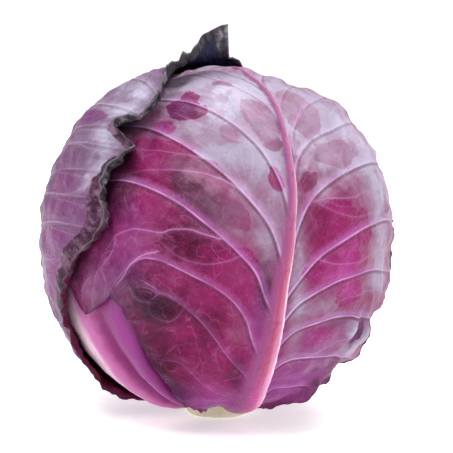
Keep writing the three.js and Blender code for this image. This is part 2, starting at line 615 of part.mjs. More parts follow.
add('stump', stumpGeometry(), '#b9b48c', 0.75);
add('ball_of_inner_leaves', ballGeometry(), '#8a3573', 0.5);
add('inner_leaf', innerLeafGeometry(INNER_LEAF), '#b85f9d', 0.4);
add('back_leaf', leafGeometry(BACK_LEAF), '#7c4a78', 0.5);
add('front_leaf', leafGeometry(FRONT_LEAF), '#8f3f78', 0.42);
add('outer_leaf', leafGeometry(OUTER_LEAF), '#8d7a96', 0.5);

export default group;
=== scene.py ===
"""Looks of a red cabbage head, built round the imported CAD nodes.

Lengths are in millimetres until a mesh is made. Places are in the row frame: +Z up, the front at -Y and
the origin at the centre of the stem's cut face. The leaves lie on the same head and follow the same plans
as the CAD's, with finer margins, veins, folds, puckers and swellings.
"""

import math

import bpy
import numpy as np
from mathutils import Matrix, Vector


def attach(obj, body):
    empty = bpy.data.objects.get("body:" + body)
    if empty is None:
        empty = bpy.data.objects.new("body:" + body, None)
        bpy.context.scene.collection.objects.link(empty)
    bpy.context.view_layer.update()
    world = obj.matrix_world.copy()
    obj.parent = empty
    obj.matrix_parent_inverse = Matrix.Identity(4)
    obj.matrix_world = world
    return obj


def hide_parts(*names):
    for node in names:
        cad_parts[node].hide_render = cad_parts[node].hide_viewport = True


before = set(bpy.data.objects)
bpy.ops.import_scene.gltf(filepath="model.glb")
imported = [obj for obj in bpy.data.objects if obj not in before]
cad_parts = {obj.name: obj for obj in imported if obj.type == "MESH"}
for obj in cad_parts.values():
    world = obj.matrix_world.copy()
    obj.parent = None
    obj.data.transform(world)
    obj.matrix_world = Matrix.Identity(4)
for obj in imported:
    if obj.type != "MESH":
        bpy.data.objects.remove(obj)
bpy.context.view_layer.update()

MM = 0.001
DEG = math.pi / 180

# ---- the head's shape, as in the CAD
HEAD_CENTRE = np.array([0.0, 0.0, 87.0])
# Radius of the front leaf's outer face by elevation in degrees.
HEAD_PROFILE = [
    (-90, 76.0), (-80, 78.6), (-72, 82.0), (-64, 84.9), (-55, 86.7), (-42, 86.8),
    (-20, 86.4), (0, 86.2), (30, 86.2), (60, 85.8), (90, 85.6),
]
# Swellings and hollows on it: azimuth and elevation in degrees, height in mm, spread in degrees.
HEAD_SWELLINGS = [
    (85, 47, 3.2, 24), (105, 68, -4.2, 15), (80, -18, -1.8, 13), (82, -48, -2.4, 13),
    (-20, 25, 0.6, 26), (150, 10, -0.8, 34), (-105, -5, -0.9, 26),
]
# Radius of the ball on which places of a leaf's skin are measured.
SKIN_RADIUS = 86.0
BLADE = 1.3
# Level of the inner faces over the head's radius, layer by layer.
BALL_LEVEL = -4.6
UNDER_LEVEL = -3.9
FRONT_LEVEL = -1.3
OUTER_LEVEL = 1.0
# Behind the head the outer leaf has no front leaf under it and sinks by this much.
OUTER_SINK = 2.0
SINK_FROM = 0.1
SINK_FULL = 0.75
# The margins' waves: where along a row they start, how fast they grow, and how they repeat along the leaf.
WAVE_FROM = 0.55
WAVE_GROWTH = 1.5
WAVE_TURNS = (4.3, 8.9)
WAVE_SHARES = (1, 0.45)
WAVE_PHASE = {"left": 1.1, "right": 0.2}
SIDES = ("left", "right")


def mix(a, b, k):
    return a + (b - a) * k


def smooth(a, b, v):
    k = np.clip((v - a) / (b - a), 0, 1)
    return k * k * (3 - 2 * k)


def unit(v):
    return v / np.linalg.norm(v, axis=-1, keepdims=True)


def dot(a, b):
    return (a * b).sum(axis=-1, keepdims=True)


def cubic(a, b, c, d, k):
    """Smooth way from b to c, a share k along it, with a and d beyond them."""
    return 0.5 * (2 * b + (c - a) * k + (2 * a - 5 * b + 4 * c - d) * k**2 + (3 * b - a - 3 * c + d) * k**3)


def curve(values, t):
    """Smooth curve through evenly numbered values: curve(v, 2.5) is half way from the third to the fourth."""
    values = np.asarray(values, float)
    t = np.asarray(t, float)
    last = len(values) - 1
    i = np.clip(np.floor(t).astype(int), 0, max(last - 1, 0))
    k = np.clip(t - i, 0, 1)
    if values.ndim > 1:
        k = k[..., None]
    near = [values[np.clip(i + n, 0, last)] for n in (-1, 0, 1, 2)]
    return cubic(*near, k)


def direction(az, el):
    """Direction from azimuth, 0 to the front and 90 to the right, and elevation."""
    az = np.asarray(az, float) * DEG
    el = np.asarray(el, float) * DEG
    return np.stack([np.cos(el) * np.sin(az), -np.cos(el) * np.cos(az), np.sin(el)], -1)


def head_radius(d):
    """Radius of the front leaf's outer face in a direction."""
    els = np.array([row[0] for row in HEAD_PROFILE], float)
    el = np.arcsin(np.clip(d[..., 2], -1, 1)) / DEG
    n = np.clip(np.searchsorted(els, el, side="left") - 1, 0, len(els) - 2)
    k = np.clip((el - els[n]) / (els[n + 1] - els[n]), 0, 1)
    r = curve([row[1] for row in HEAD_PROFILE], n + k)
    for az, elevation, height, spread in HEAD_SWELLINGS:
        cosine = (d * direction(az, elevation)).sum(-1)
        off = np.arccos(np.clip(cosine, -1, 1)) / DEG / spread
        r = r + height * np.exp(-off * off)
    return r


# ---- seeded, repeatable noise
class Ripples:
    """Smooth noise from about -1 to 1: sine waves through space, each of a random turn and phase."""

    WAVES = 40
    SPREAD = 0.35
    SIZE = 0.7

    def __init__(self, seed, wavelength):
        rng = np.random.default_rng(seed)
        length = wavelength * np.exp(rng.uniform(-self.SPREAD, self.SPREAD, self.WAVES))
        self.turn = unit(rng.normal(size=(self.WAVES, 3))) * (2 * math.pi / length)[:, None]
        self.phase = rng.uniform(0, 2 * math.pi, self.WAVES)

    def __call__(self, p):
        waves = np.sin(p.reshape(-1, 3) @ self.turn.T + self.phase).sum(-1)
        return (waves * math.sqrt(2 / self.WAVES) * self.SIZE).reshape(p.shape[:-1])


# ---- a leaf laid on the head
SAMPLES = 16
SAMPLE_STEPS = 8
# The margin's roll starts in the direction of the last ROW_STEP of the row.
ROW_STEP = 0.04
LEAST_ROLL = 0.5
LEAST_BEND = 1
ROLL_CLEARANCE = 2
# Shares of a row at which the midrib's foot is looked for, and places of the midrib between two stations.
FOOT_SHARES = np.linspace(0, 0.6, 40)
FOOT_STEPS = 8


def resample(points):
    """The same curve as SAMPLES + 1 evenly spaced points."""
    fine = curve(points, np.arange((len(points) - 1) * SAMPLE_STEPS + 1) / SAMPLE_STEPS)
    length = np.concatenate([[0], np.cumsum(np.linalg.norm(np.diff(fine, axis=0), axis=1))])
    goal = np.linspace(0, length[-1], SAMPLES + 1)
    return np.stack([np.interp(goal, length, fine[:, n]) for n in (0, 1)], -1)


class Leaf:
    """A leaf's surface from its plan, with the same rows, levels, lift, roll and waves as the CAD solid."""

    def __init__(self, plan):
        self.plan = plan
        az, el = plan["centre"]
        self.centre = direction(az, el)
        self.across = np.array([math.cos(az * DEG), math.sin(az * DEG), 0])
        self.up = np.cross(self.centre, self.across)
        if self.up[2] < 0:
            self.up = -self.up
        stations = plan["stations"]
        self.last = len(stations) - 1
        self.mids = np.array([st["mid"] for st in stations], float)
        self.rows = {s: np.array([resample([st["mid"], *st[s]]) for st in stations]) for s in SIDES}
        self.edge = {}
        for n, side in enumerate(SIDES):
            for key in ("lift", "roll", "bend", "wave", "rib"):
                self.edge[key, side] = [st.get(key, (0, 0))[n] for st in stations]
        self.raised = [st.get("raised", 0) for st in stations]

    def flat(self, side, t, w):
        """Flat position, in degrees, at station t and a share w of the way out."""
        t, w = np.broadcast_arrays(np.asarray(t, float), np.asarray(w, float))
        rows = self.rows[side]
        v = np.clip(w, 0, 1) * SAMPLES
        j = np.clip(np.floor(v).astype(int), 0, SAMPLES - 1)
        k = (v - j)[..., None]
        n = np.clip(np.floor(t).astype(int), 0, self.last - 1)
        near = []
        for step in (-1, 0, 1, 2):
            i = np.clip(n + step, 0, self.last)
            near.append(cubic(*[rows[i, np.clip(j + m, 0, SAMPLES)] for m in (-1, 0, 1, 2)], k))
        return cubic(*near, np.clip(t - n, 0, 1)[..., None])

    def toward(self, xy):
        """Direction of a flat position from the head's centre."""
        xy = np.asarray(xy, float)
        rho = np.hypot(xy[..., 0], xy[..., 1]) * DEG
        k = np.where(rho < 1e-6, 1, np.sin(rho) / np.maximum(rho, 1e-6))[..., None]
        d = self.centre * np.cos(rho)[..., None]
        d = d + self.across * (k * xy[..., :1] * DEG) + self.up * (k * xy[..., 1:] * DEG)
        return unit(d)

    def value(self, key, side, t):
        return curve(self.edge[key, side], t)

    def row_length(self, side, t):
        p = [self.flat(side, t, w) for w in (0, 0.5, 1)]
        return sum(np.linalg.norm(b - a, axis=-1) for a, b in zip(p, p[1:])) * SKIN_RADIUS * DEG

    def hold(self, side, t):
        """Share of the row at which the margin's roll starts."""
        roll = self.value("roll", side, t)
        bend = np.clip(self.value("bend", side, t), 0, 90)
        return 1 - roll * np.sin(bend * DEG) / self.row_length(side, t)

    def ripple(self, side, t):
        size = np.maximum(self.value("wave", side, t), 0)
        phase = WAVE_PHASE[side]
        long = WAVE_SHARES[0] * (1 + np.sin(WAVE_TURNS[0] * t + phase))
        short = WAVE_SHARES[1] * np.sin(WAVE_TURNS[1] * t + 2 * phase)
        return size * (long + short) / 2

    def lift(self, side, t, w):
        return mix(curve(self.raised, t), self.value("lift", side, t), smooth(self.plan["lift_from"], 1, w))

    def blade(self, side, t, w, height):
        d = self.toward(self.flat(side, t, w))
        ripple = self.ripple(side, t) * smooth(WAVE_FROM, 1, w) ** WAVE_GROWTH
        r = head_radius(d) + self.plan["level"](d) + self.lift(side, t, w) + ripple + height
        return d * r[..., None] + HEAD_CENTRE

    def point(self, side, t, w, height, roll_share):
        """w runs from 0 at the midrib to 1 where the margin's roll starts, and on to 2 at the very edge."""
        hold = self.hold(side, t)
        on_head = self.blade(side, t, np.minimum(w, 1) * hold, height)
        roll = np.maximum(self.value("roll", side, t), LEAST_ROLL) * roll_share
        bend = np.maximum(self.value("bend", side, t), LEAST_BEND) * DEG * np.maximum(w - 1, 0)
        start = self.blade(side, t, hold, 0 * height)
        before = self.blade(side, t, hold - ROW_STEP, 0 * height)
        run = unit(start - before)
        out = unit(start - HEAD_CENTRE)
        out = unit(out - run * dot(out, run))
        along = (roll - height) * np.sin(bend)
        rise = roll * (1 - np.cos(bend)) + height * np.cos(bend)
        rolled = start + run * along[..., None] + out * rise[..., None]
        return np.where((w <= 1)[..., None], on_head, rolled)

    def clearance(self, side, t, w):
        """How far the blade stands off the head below it, up to ROLL_CLEARANCE more in the roll."""
        return self.lift(side, t, w) + np.maximum(w - 1, 0) * ROLL_CLEARANCE

    def spread_share(self, side, t, w):
        """Share of the row as if the margin's roll was laid flat again."""
        hold = self.hold(side, t)
        return np.where(w <= 1, w * hold, mix(hold, 1, w - 1))

    def foot_share(self, side, t, half):
        """Share of the row at which it is a distance half away from the midrib."""
        mids = curve(self.mids, np.linspace(0, self.last, self.last * FOOT_STEPS + 1))
        xy = self.flat(side, t[:, None], FOOT_SHARES[None, :])
        gap = np.linalg.norm(xy[:, :, None] - mids[None, None], axis=-1).min(-1) * SKIN_RADIUS * DEG
        gap = np.maximum.accumulate(gap, axis=1)
        return np.array([np.interp(h, g, FOOT_SHARES) for h, g in zip(half, gap)])


# ---- plans
# The numbers are the CAD's, except that the crest's right edge at station 15 runs a little wider. Places are
# chart degrees from the leaf's centre: mid is on the midrib, left and right run from there to the margins.
# rib, roll, bend, lift and wave have the left and the right side, and raised is the midrib's own lift.
FRONT_LEAF = {
    "centre": (20, 0),
    "level": lambda d: FRONT_LEVEL + 0 * d[..., 0],
    "lift_from": 0.72,
    "midrib_width": (20, 18.5, 14.5, 11.2, 8.8, 6.4, 5.4, 5, 4),
    "midrib_height": (3.4, 3.6, 3.2, 2.8, 2.4, 2.0, 1.6, 1.0, 0.3),
    "stations": [
        dict(mid=(-1, -76.2), left=[(-5, -77), (-8, -79)], right=[(2.5, -76.2), (8, -78.6)],
             roll=(6, 6), bend=(10, 10), lift=(1.0, 0)),
        dict(mid=(-1.8, -66), left=[(-13, -65), (-22, -61)], right=[(4, -64), (12, -61)],
             roll=(6, 5), bend=(12, 25), lift=(2.6, 3.0), wave=(0, 2.2)),
        dict(mid=(-3, -54), left=[(-14, -49), (-21, -44), (-30, -35), (-40, -34)],
             right=[(1, -51), (5, -47), (14, -48), (27, -51)],
             rib=(0.9, 1.0), roll=(5, 4), bend=(25, 35), lift=(1.5, 2.2), wave=(0.8, 3.0)),
        dict(mid=(-3.6, -43), left=[(-13, -33), (-23, -20), (-30, -13), (-39, -9), (-46, -9), (-51, -14)],
             right=[(0, -39), (4, -34), (12, -33), (24, -35), (42, -42)],
             rib=(0.8, 1.1), roll=(4, 4), bend=(40, 40), lift=(2.2, 0.5), wave=(0.8, 3.6)),
        dict(mid=(-3.5, -33),
             left=[(-8, -25), (-11, -17), (-17, -10), (-25, -5), (-39, 1), (-47, -2), (-56, -16)],
             right=[(-1, -30), (4, -23), (13, -20), (25, -20), (40, -24), (53, -29)],
             rib=(1.0, 1.1), roll=(4, 4), bend=(25, 40), lift=(1.8, 0.2), wave=(0.5, 3.8)),
        dict(mid=(-3.2, -25), left=[(-8, -14), (-12, -5), (-19, 3), (-28, 8), (-38, 8), (-50, 4), (-59, -6),
                                  (-68, -23)],
             right=[(0, -20), (4, -14), (12, -10), (22, -7), (38, -6), (58, -11)],
             rib=(0, 1.2), roll=(5, 4), bend=(10, 40), lift=(0.6, 0.1), wave=(0, 2.8)),
        dict(mid=(-2.6, -17), left=[(-6, -10), (-8, -4), (-13, 2), (-19, 8), (-27, 15), (-35, 21), (-50, 27),
                                  (-66, 24), (-79, 8)],
             right=[(1, -11), (5, -6), (11, 0), (21, 5), (36, 9), (52, 10), (68, 5)],
             rib=(1.3, 1.3), roll=(6, 3.5), bend=(8, 45), lift=(0, 0.2), wave=(0, 1.0)),
        dict(mid=(-1.7, -9), left=[(-4, 0), (-8, 9), (-16, 18), (-27, 26), (-40, 32), (-58, 36), (-74, 33),
                                 (-84, 24)],
             right=[(3, -1), (9, 6), (18, 11), (31, 15), (46, 18), (64, 18), (80, 13)],
             roll=(6, 6), bend=(8, 30), wave=(0, 1.0)),
        dict(mid=(-0.7, -2), left=[(-2, 4), (-4, 10), (-8, 16), (-14, 24), (-22, 32), (-31, 40), (-42, 48),
                                 (-60, 52), (-82, 44)],
             right=[(3, 6), (6, 12), (10, 18), (20, 24), (31, 28), (45, 31), (66, 32), (86, 26)],
             rib=(1.3, 1.3), roll=(6, 6), bend=(8, 15), wave=(0, 0.6)),
        dict(mid=(1.9, 12), left=[(1, 20), (-1, 28), (-4, 35), (-9, 42), (-16, 50), (-25, 57), (-38, 62),
                                (-56, 66), (-74, 62)],
             right=[(4, 21), (8, 31), (16, 38), (26, 42), (40, 47), (60, 50), (84, 46)],
             rib=(1.2, 1.1), roll=(6, 6), bend=(8, 12)),
        dict(mid=(4, 26), left=[(3, 36), (0, 45), (-6, 54), (-15, 64), (-28, 72), (-44, 77), (-60, 78)],
             right=[(7, 36), (12, 45), (21, 53), (36, 60), (54, 65), (74, 65)],
             rib=(0, 0.9), roll=(6, 6), bend=(8, 12)),
        dict(mid=(5.4, 41), left=[(4, 50), (0, 58), (-7, 67), (-17, 76), (-30, 83), (-43, 89)],
             right=[(9, 53), (17, 62), (28, 70), (42, 77), (58, 81)],
             rib=(0.9, 0.6), roll=(6, 6), bend=(8, 15), wave=(0, 0.6)),
        dict(mid=(6.2, 60), left=[(2, 69), (-5, 78), (-15, 87), (-26, 95)],
             right=[(9, 69), (17, 78), (28, 86), (40, 92)],
             rib=(0.5, 0.5), roll=(6, 6), bend=(8, 20), wave=(0, 0.8)),
        dict(mid=(4, 80), left=[(-1, 87), (-7, 95), (-13, 101)], right=[(7, 87), (14, 95), (22, 101)],
             roll=(6, 6), bend=(10, 20), wave=(0, 0.8)),
        dict(mid=(2.5, 97), left=[(-1, 101), (-4, 104)], right=[(5, 101), (9, 104)],
             roll=(6, 6), bend=(10, 15)),
    ],
}

def outer_level(d):
    return OUTER_LEVEL - OUTER_SINK * smooth(SINK_FROM, SINK_FULL, d[..., 1] * (1 - abs(d[..., 2])))


OUTER_LEAF = {
    "centre": (-115, 0),
    "level": outer_level,
    "lift_from": 0.35,
    "midrib_width": (19, 17, 13, 10, 8, 6.5, 5.5, 4.5, 4),
    "midrib_height": (4.0, 4.0, 3.4, 2.8, 2.3, 1.8, 1.2, 0.6, 0.3),
    "stations": [
        dict(mid=(-2, -76.2), left=[(-6, -77.2), (-10, -80)], right=[(2.5, -76.2), (8, -78.6)],
             roll=(5, 5), bend=(10, 12)),
        dict(mid=(-3, -70), left=[(-10, -68), (-18, -67)], right=[(5, -67), (14, -64), (28, -60)],
             roll=(6, 5), bend=(15, 45), lift=(0.5, 2.0)),
        dict(mid=(-4, -62), left=[(-14, -57), (-24, -54), (-33, -54)],
             right=[(8, -56), (22, -50), (36, -46), (45, -44)],
             roll=(6, 5), bend=(20, 60), lift=(1, 1.6), wave=(1.0, 0.6)),
        dict(mid=(-4, -52), left=[(-16, -43), (-30, -40), (-46, -42)],
             right=[(10, -43), (28, -33), (45, -27), (57, -24)],
             rib=(0.9, 0.9), roll=(6, 5), bend=(25, 75), lift=(1, 1.2), wave=(1.6, 0.8)),
        dict(mid=(-5, -42), left=[(-18, -28), (-36, -22), (-57, -27)],
             right=[(5, -32), (20, -18), (36, -8), (53, -3), (71, -2)],
             rib=(1.0, 1.1), roll=(5, 5), bend=(25, 100), lift=(1, 1.4), wave=(1.8, 0.8)),
        dict(mid=(-6, -28), left=[(-18, -13), (-36, -4), (-56, -4), (-68, -11)],
             right=[(4, -17), (18, -3), (32, 5), (47, 9), (60, 11), (82, 12)],
             rib=(1.1, 1.1), roll=(5, 5.2), bend=(25, 110), lift=(0.6, 2.0), wave=(1.6, 0.8)),
        dict(mid=(-6, -15), left=[(-18, 2), (-36, 12), (-58, 14), (-75, 7)],
             right=[(4, -3), (16, 8), (30, 15), (45, 19), (59, 21), (79, 24)],
             rib=(1.2, 1.1), roll=(5, 5.2), bend=(25, 112), lift=(0.6, 2.0), wave=(1.4, 0.8)),
        dict(mid=(-6, -3), left=[(-17, 14), (-34, 26), (-56, 30), (-78, 23)],
             right=[(2, 6), (12, 14), (22, 19), (33, 22), (46, 28), (58, 31), (74, 35)],
             rib=(1.2, 1.1), roll=(5, 4.8), bend=(25, 115), lift=(0.8, 2.0), wave=(1.2, 0.9), raised=0.4),
        dict(mid=(-6, 4), left=[(-17, 21), (-34, 34), (-55, 39), (-78, 35)],
             right=[(3, 14), (15, 24), (29, 32), (42, 37), (56, 41), (76, 46)],
             rib=(0, 0.8), roll=(5, 4.2), bend=(25, 120), lift=(0.8, 2.4), wave=(1.2, 0.9), raised=1.0),
        dict(mid=(-6, 13), left=[(-16, 30), (-32, 43), (-52, 49), (-75, 46)],
             right=[(4, 23), (15, 30), (27, 36), (37, 41), (48, 46), (61, 51)],
             rib=(1.1, 1.0), roll=(5, 3.4), bend=(25, 120), lift=(0.8, 3.2), wave=(1.2, 0.6), raised=1.8),
        dict(mid=(-5, 25), left=[(-14, 42), (-28, 54), (-46, 61), (-67, 60)],
             right=[(3, 35), (12, 43), (24, 49), (40, 55), (52, 58), (67, 59)],
             rib=(1.0, 1.0), roll=(5, 6.0), bend=(25, 98), lift=(0.8, 3.0), wave=(1.2, 0.5), raised=2.5),
        dict(mid=(-5, 41), left=[(-12, 55), (-24, 66), (-38, 72), (-56, 71)],
             right=[(3, 53), (14, 62), (28, 67), (42, 70), (57, 69)],
             rib=(0.8, 0.7), roll=(5, 6.2), bend=(25, 95), lift=(1.0, 3.0), wave=(1.2, 0.3), raised=2.6),
        dict(mid=(-6, 57), left=[(-12, 67), (-22, 75), (-34, 80), (-46, 80)],
             right=[(2, 66), (12, 72), (25, 76), (43, 76)],
             rib=(0.5, 0.5), roll=(5, 4.4), bend=(25, 105), lift=(1.2, 3.2), wave=(1.0, 0.3), raised=2.4),
        dict(mid=(-9, 70), left=[(-15, 77), (-24, 82), (-37, 85)], right=[(-1, 76), (10, 79), (29, 78)],
             roll=(5, 3.0), bend=(20, 125), lift=(1.2, 1.0), wave=(0.8, 0.4), raised=1.6),
        dict(mid=(-13, 79), left=[(-19, 83), (-26, 86), (-33, 88)], right=[(-6, 82), (2, 84), (11, 84.5)],
             roll=(5, 3.0), bend=(20, 125), lift=(1.2, 4.2), wave=(0.4, 0.4), raised=2.4),
        dict(mid=(-14, 85), left=[(-20, 87), (-25, 88), (-30, 89.5)],
             right=[(-8, 86.2), (-2, 86.6), (5, 86.6)],
             roll=(5, 2.8), bend=(15, 100), lift=(1.2, 12.5), raised=4.5),
        dict(mid=(-14, 89.5), left=[(-18.5, 90), (-25, 90.3)], right=[(-11.5, 89.4), (-9, 89.3)],
             roll=(4, 1.6), bend=(10, 40), lift=(0.6, 23.5), raised=5.5),
    ],
}

EVEN_SHARES = (0.35, 0.7, 1)
EVEN_SWEEP = 1.8


def even_stations(rows):
    """Stations of a plain, even leaf: each side rib leaves the midrib and bends up to the margin."""
    stations = []
    for along, reach, top, rib in rows:
        row = {sign: [(sign * reach * k, mix(along, top, 1 - (1 - k) ** EVEN_SWEEP)) for k in EVEN_SHARES]
               for sign in (-1, 1)}
        stations.append(dict(mid=(0, along), left=row[-1], right=row[1], rib=(rib, rib), roll=(6, 6),
                             bend=(12, 12)))
    return stations


BACK_LEAF = {
    "centre": (139, 0),
    "level": lambda d: UNDER_LEVEL + 0 * d[..., 0],
    "lift_from": 0.6,
    "midrib_width": (18, 16, 12, 9, 7, 5.5, 4.5),
    "midrib_height": (3.6, 3.4, 2.4, 1.4, 1.0, 0.8, 0.3),
    "stations": even_stations([
        (-76.2, 9, -79, 0), (-66, 30, -62, 0), (-54, 49, -47, 0.6), (-40, 63, -31, 0.8),
        (-24, 70, -12, 0.9), (-8, 71, 8, 0.9), (9, 67, 28, 0.9), (27, 57, 47, 0.8),
        (46, 42, 64, 0.6), (64, 24, 76, 0.4), (76, 9, 82, 0),
    ]),
}

# The inner leaf's rows go up at the degrees of ups. across has each row's places in degrees: left margin,
# left blade, left foot, midrib, groove, first side rib, groove, second side rib, its foot, right blade and
# right margin. ribs has the heights of the midrib and the two side ribs in mm.
INNER_LEAF = {
    "centre": (-40, -40),
    "ups": (-36.5, -29, -20, -12, -4, 4, 12, 19, 26, 33),
    "across": [
        (-6, -4, -2, 3, 5, 7, 8, 9, 10, 11, 12),
        (-15, -9, -3, 3, 6.5, 8.5, 10, 11.3, 12.5, 14, 16),
        (-22, -13, -4, 2.5, 7.5, 10.5, 12.5, 14, 16, 20, 25),
        (-27, -17, -7.5, -1, 5.5, 10, 12, 13.7, 15.5, 21, 28),
        (-31, -20, -9, -3, 4, 9, 11.5, 13.2, 15, 22, 30),
        (-33, -22, -11, -5, 2, 8, 11.3, 13, 15, 22, 31),
        (-34, -24, -14, -8.5, 0, 7.5, 11.5, 13, 15, 22, 31),
        (-34, -26, -18, -12, -1, 6, 10.5, 12.5, 15, 21, 29),
        (-33, -27, -21, -15, -2, 5, 9.5, 12, 14.5, 19, 25),
        (-30, -26, -22, -17, -4, 3, 7, 10, 12.5, 16, 20),
    ],
    "ribs": [
        (3.6, 1.2, 0.3), (4.4, 1.8, 0.5), (5.0, 3.0, 1.2), (5.2, 4.0, 2.3), (5.2, 4.2, 2.4),
        (4.6, 4.0, 2.3), (3.2, 3.2, 1.8), (1.7, 1.8, 0.9), (0.8, 0.8, 0.4), (0.2, 0.2, 0.2),
    ],
}
RIB_COLUMNS = (3, 5, 7)
RIB_ROUNDNESS = 0.8
INNER_ROWS = 145
INNER_COLS = 161
# The blade swells by this many mm beside the midrib: column and half width in columns, and the rows over
# which the swelling comes and goes.
SIDE_BULGE = 2.0
BULGE_PLACE = (1.2, 0.9)
BULGE_ROWS = ((0.5, 2.5), (8, 6))
# Uneven blade and fine ripples: seed, wavelength and height in mm.
INNER_NOISES = ((91, 16.0, 0.25), (92, 5.0, 0.06))


# ---- veins
class Veins:
    """Distance of every point of a leaf's skin to its nearest vein. A vein is a curve on the ball of radius
    SKIN_RADIUS, so widths stay true wherever the margin rolls or lifts."""

    REACH = 14.0
    STEP = 0.25
    # Distance where there is no vein within reach.
    FAR = 99.0
    # Share of its width that a vein keeps at its tip, and share of its colour.
    TIP_WIDTH = 0.35
    TIP_SHOW = 0.25
    # Spread of the vein's ridge over its half width.
    RIDGE = 3.0

    def __init__(self, leaf):
        self.leaf = leaf
        self.lines = []

    def add(self, chart_points, width, height, show, rank=0):
        """A vein through points in chart degrees. width is its half width in mm at both ends. Side ribs have
        rank 0 and branches rank 1."""
        points = np.array(chart_points, float)
        fine = curve(points, np.arange(0, len(points) - 1 + self.STEP / 2, self.STEP))
        self.lines.append((self.leaf.toward(fine) * SKIN_RADIUS, width, height, show, rank))

    def nearest(self, line, p, out):
        """Distance of points to a line, positive above it, and the share of the line's way at that place."""
        rightward = 1 if (line[-1] - line[0]) @ self.leaf.across > 0 else -1
        best = np.full(len(p), 1e9)
        sign = np.zeros(len(p))
        share = np.zeros(len(p))
        for n, (a, b) in enumerate(zip(line, line[1:])):
            ab = b - a
            k = np.clip(((p - a) @ ab) / (ab @ ab), 0, 1)
            off = p - a - k[:, None] * ab
            dist = (off**2).sum(1)
            closer = dist < best
            best[closer] = dist[closer]
            turn = (np.cross(ab, off[closer]) * out[closer]).sum(1)
            sign[closer] = np.where(turn < 0, -1, 1) * rightward
            share[closer] = (n + k[closer]) / (len(line) - 1)
        return np.sqrt(best), sign, share

    def measure(self, skin):
        """For ranks 0 and 1: distance of the nearest vein, positive above it, its half width and how much it
        shows. Then the height of them all."""
        flat = skin.reshape(-1, 3)
        out = unit(flat)
        gap = np.full((2, len(flat)), self.FAR)
        half = np.zeros((2, len(flat)))
        shown = np.zeros((2, len(flat)))
        score = np.full((2, len(flat)), self.FAR)
        relief = np.zeros(len(flat))
        for line, width, height, show, rank in self.lines:
            middle = line.mean(0)
            reach = np.linalg.norm(line - middle, axis=1).max() + self.REACH
            near = np.nonzero(((flat - middle) ** 2).sum(1) < reach**2)[0]
            if not len(near):
                continue
            dist, sign, share = self.nearest(line, flat[near], out[near])
            tip = smooth(0, 0.12, 1.02 - share)
            wide = mix(*width, share) * (self.TIP_WIDTH + (1 - self.TIP_WIDTH) * tip)
            bump = np.exp(-((dist / (self.RIDGE * wide)) ** 2))
            relief[near] = np.maximum(relief[near], mix(*height, share) * bump)
            rating = dist - wide
            win = rating < score[rank][near]
            chosen = near[win]
            score[rank][chosen] = rating[win]
            gap[rank][chosen] = (dist * sign)[win]
            half[rank][chosen] = wide[win]
            strength = show * (self.TIP_SHOW + (1 - self.TIP_SHOW) * smooth(1.05, 0.6, share))
            shown[rank][chosen] = (strength * smooth(self.REACH / 2, 3.5, dist))[win]
        shape = skin.shape[:-1]
        both = [grid.reshape(2, *shape) for grid in (gap, half, shown)]
        return *both, relief.reshape(shape)


# The plan's rib value of a rib of full size.
FULL_RIB = 1.2
FORK_LENGTH = 0.42
FORK_TIP = 0.15
FORK_TIP_HEIGHT = 0.1


def station_veins(leaf, veins, shows, half, height, forks=()):
    """The side ribs of the plan's stations, out to the margin, and their forks by a rule. shows has how much
    a rib stands out in colour, by station and side. A fork is the share of the row at which it leaves the
    rib, and the number of stations it turns away."""
    for j in range(1, leaf.last):
        for side in SIDES:
            rib = leaf.edge["rib", side][j]
            if rib <= 0:
                continue
            scale = rib / FULL_RIB
            path = leaf.flat(side, j, np.linspace(0, 1, 15))
            show = shows.get((j, side), 0.7)
            rise = scale * (0.5 + show)
            veins.add(path, (half[0] * scale, half[1]), (height[0] * rise, height[1] * rise), show)
            for share, turn in forks:
                k = np.linspace(0, 1, 7)
                out = mix(share, min(share + FORK_LENGTH, 1.0), k)
                fork = leaf.flat(side, np.clip(j + turn * k**0.8, 0, leaf.last), out)
                veins.add(fork, (half[1] * 1.2, FORK_TIP), (height[1], FORK_TIP_HEIGHT), 0.6 * show, rank=1)


def twig_veins(veins, twigs, width, height):
    for show, path in twigs:
        veins.add(path, width, height, show, rank=1)


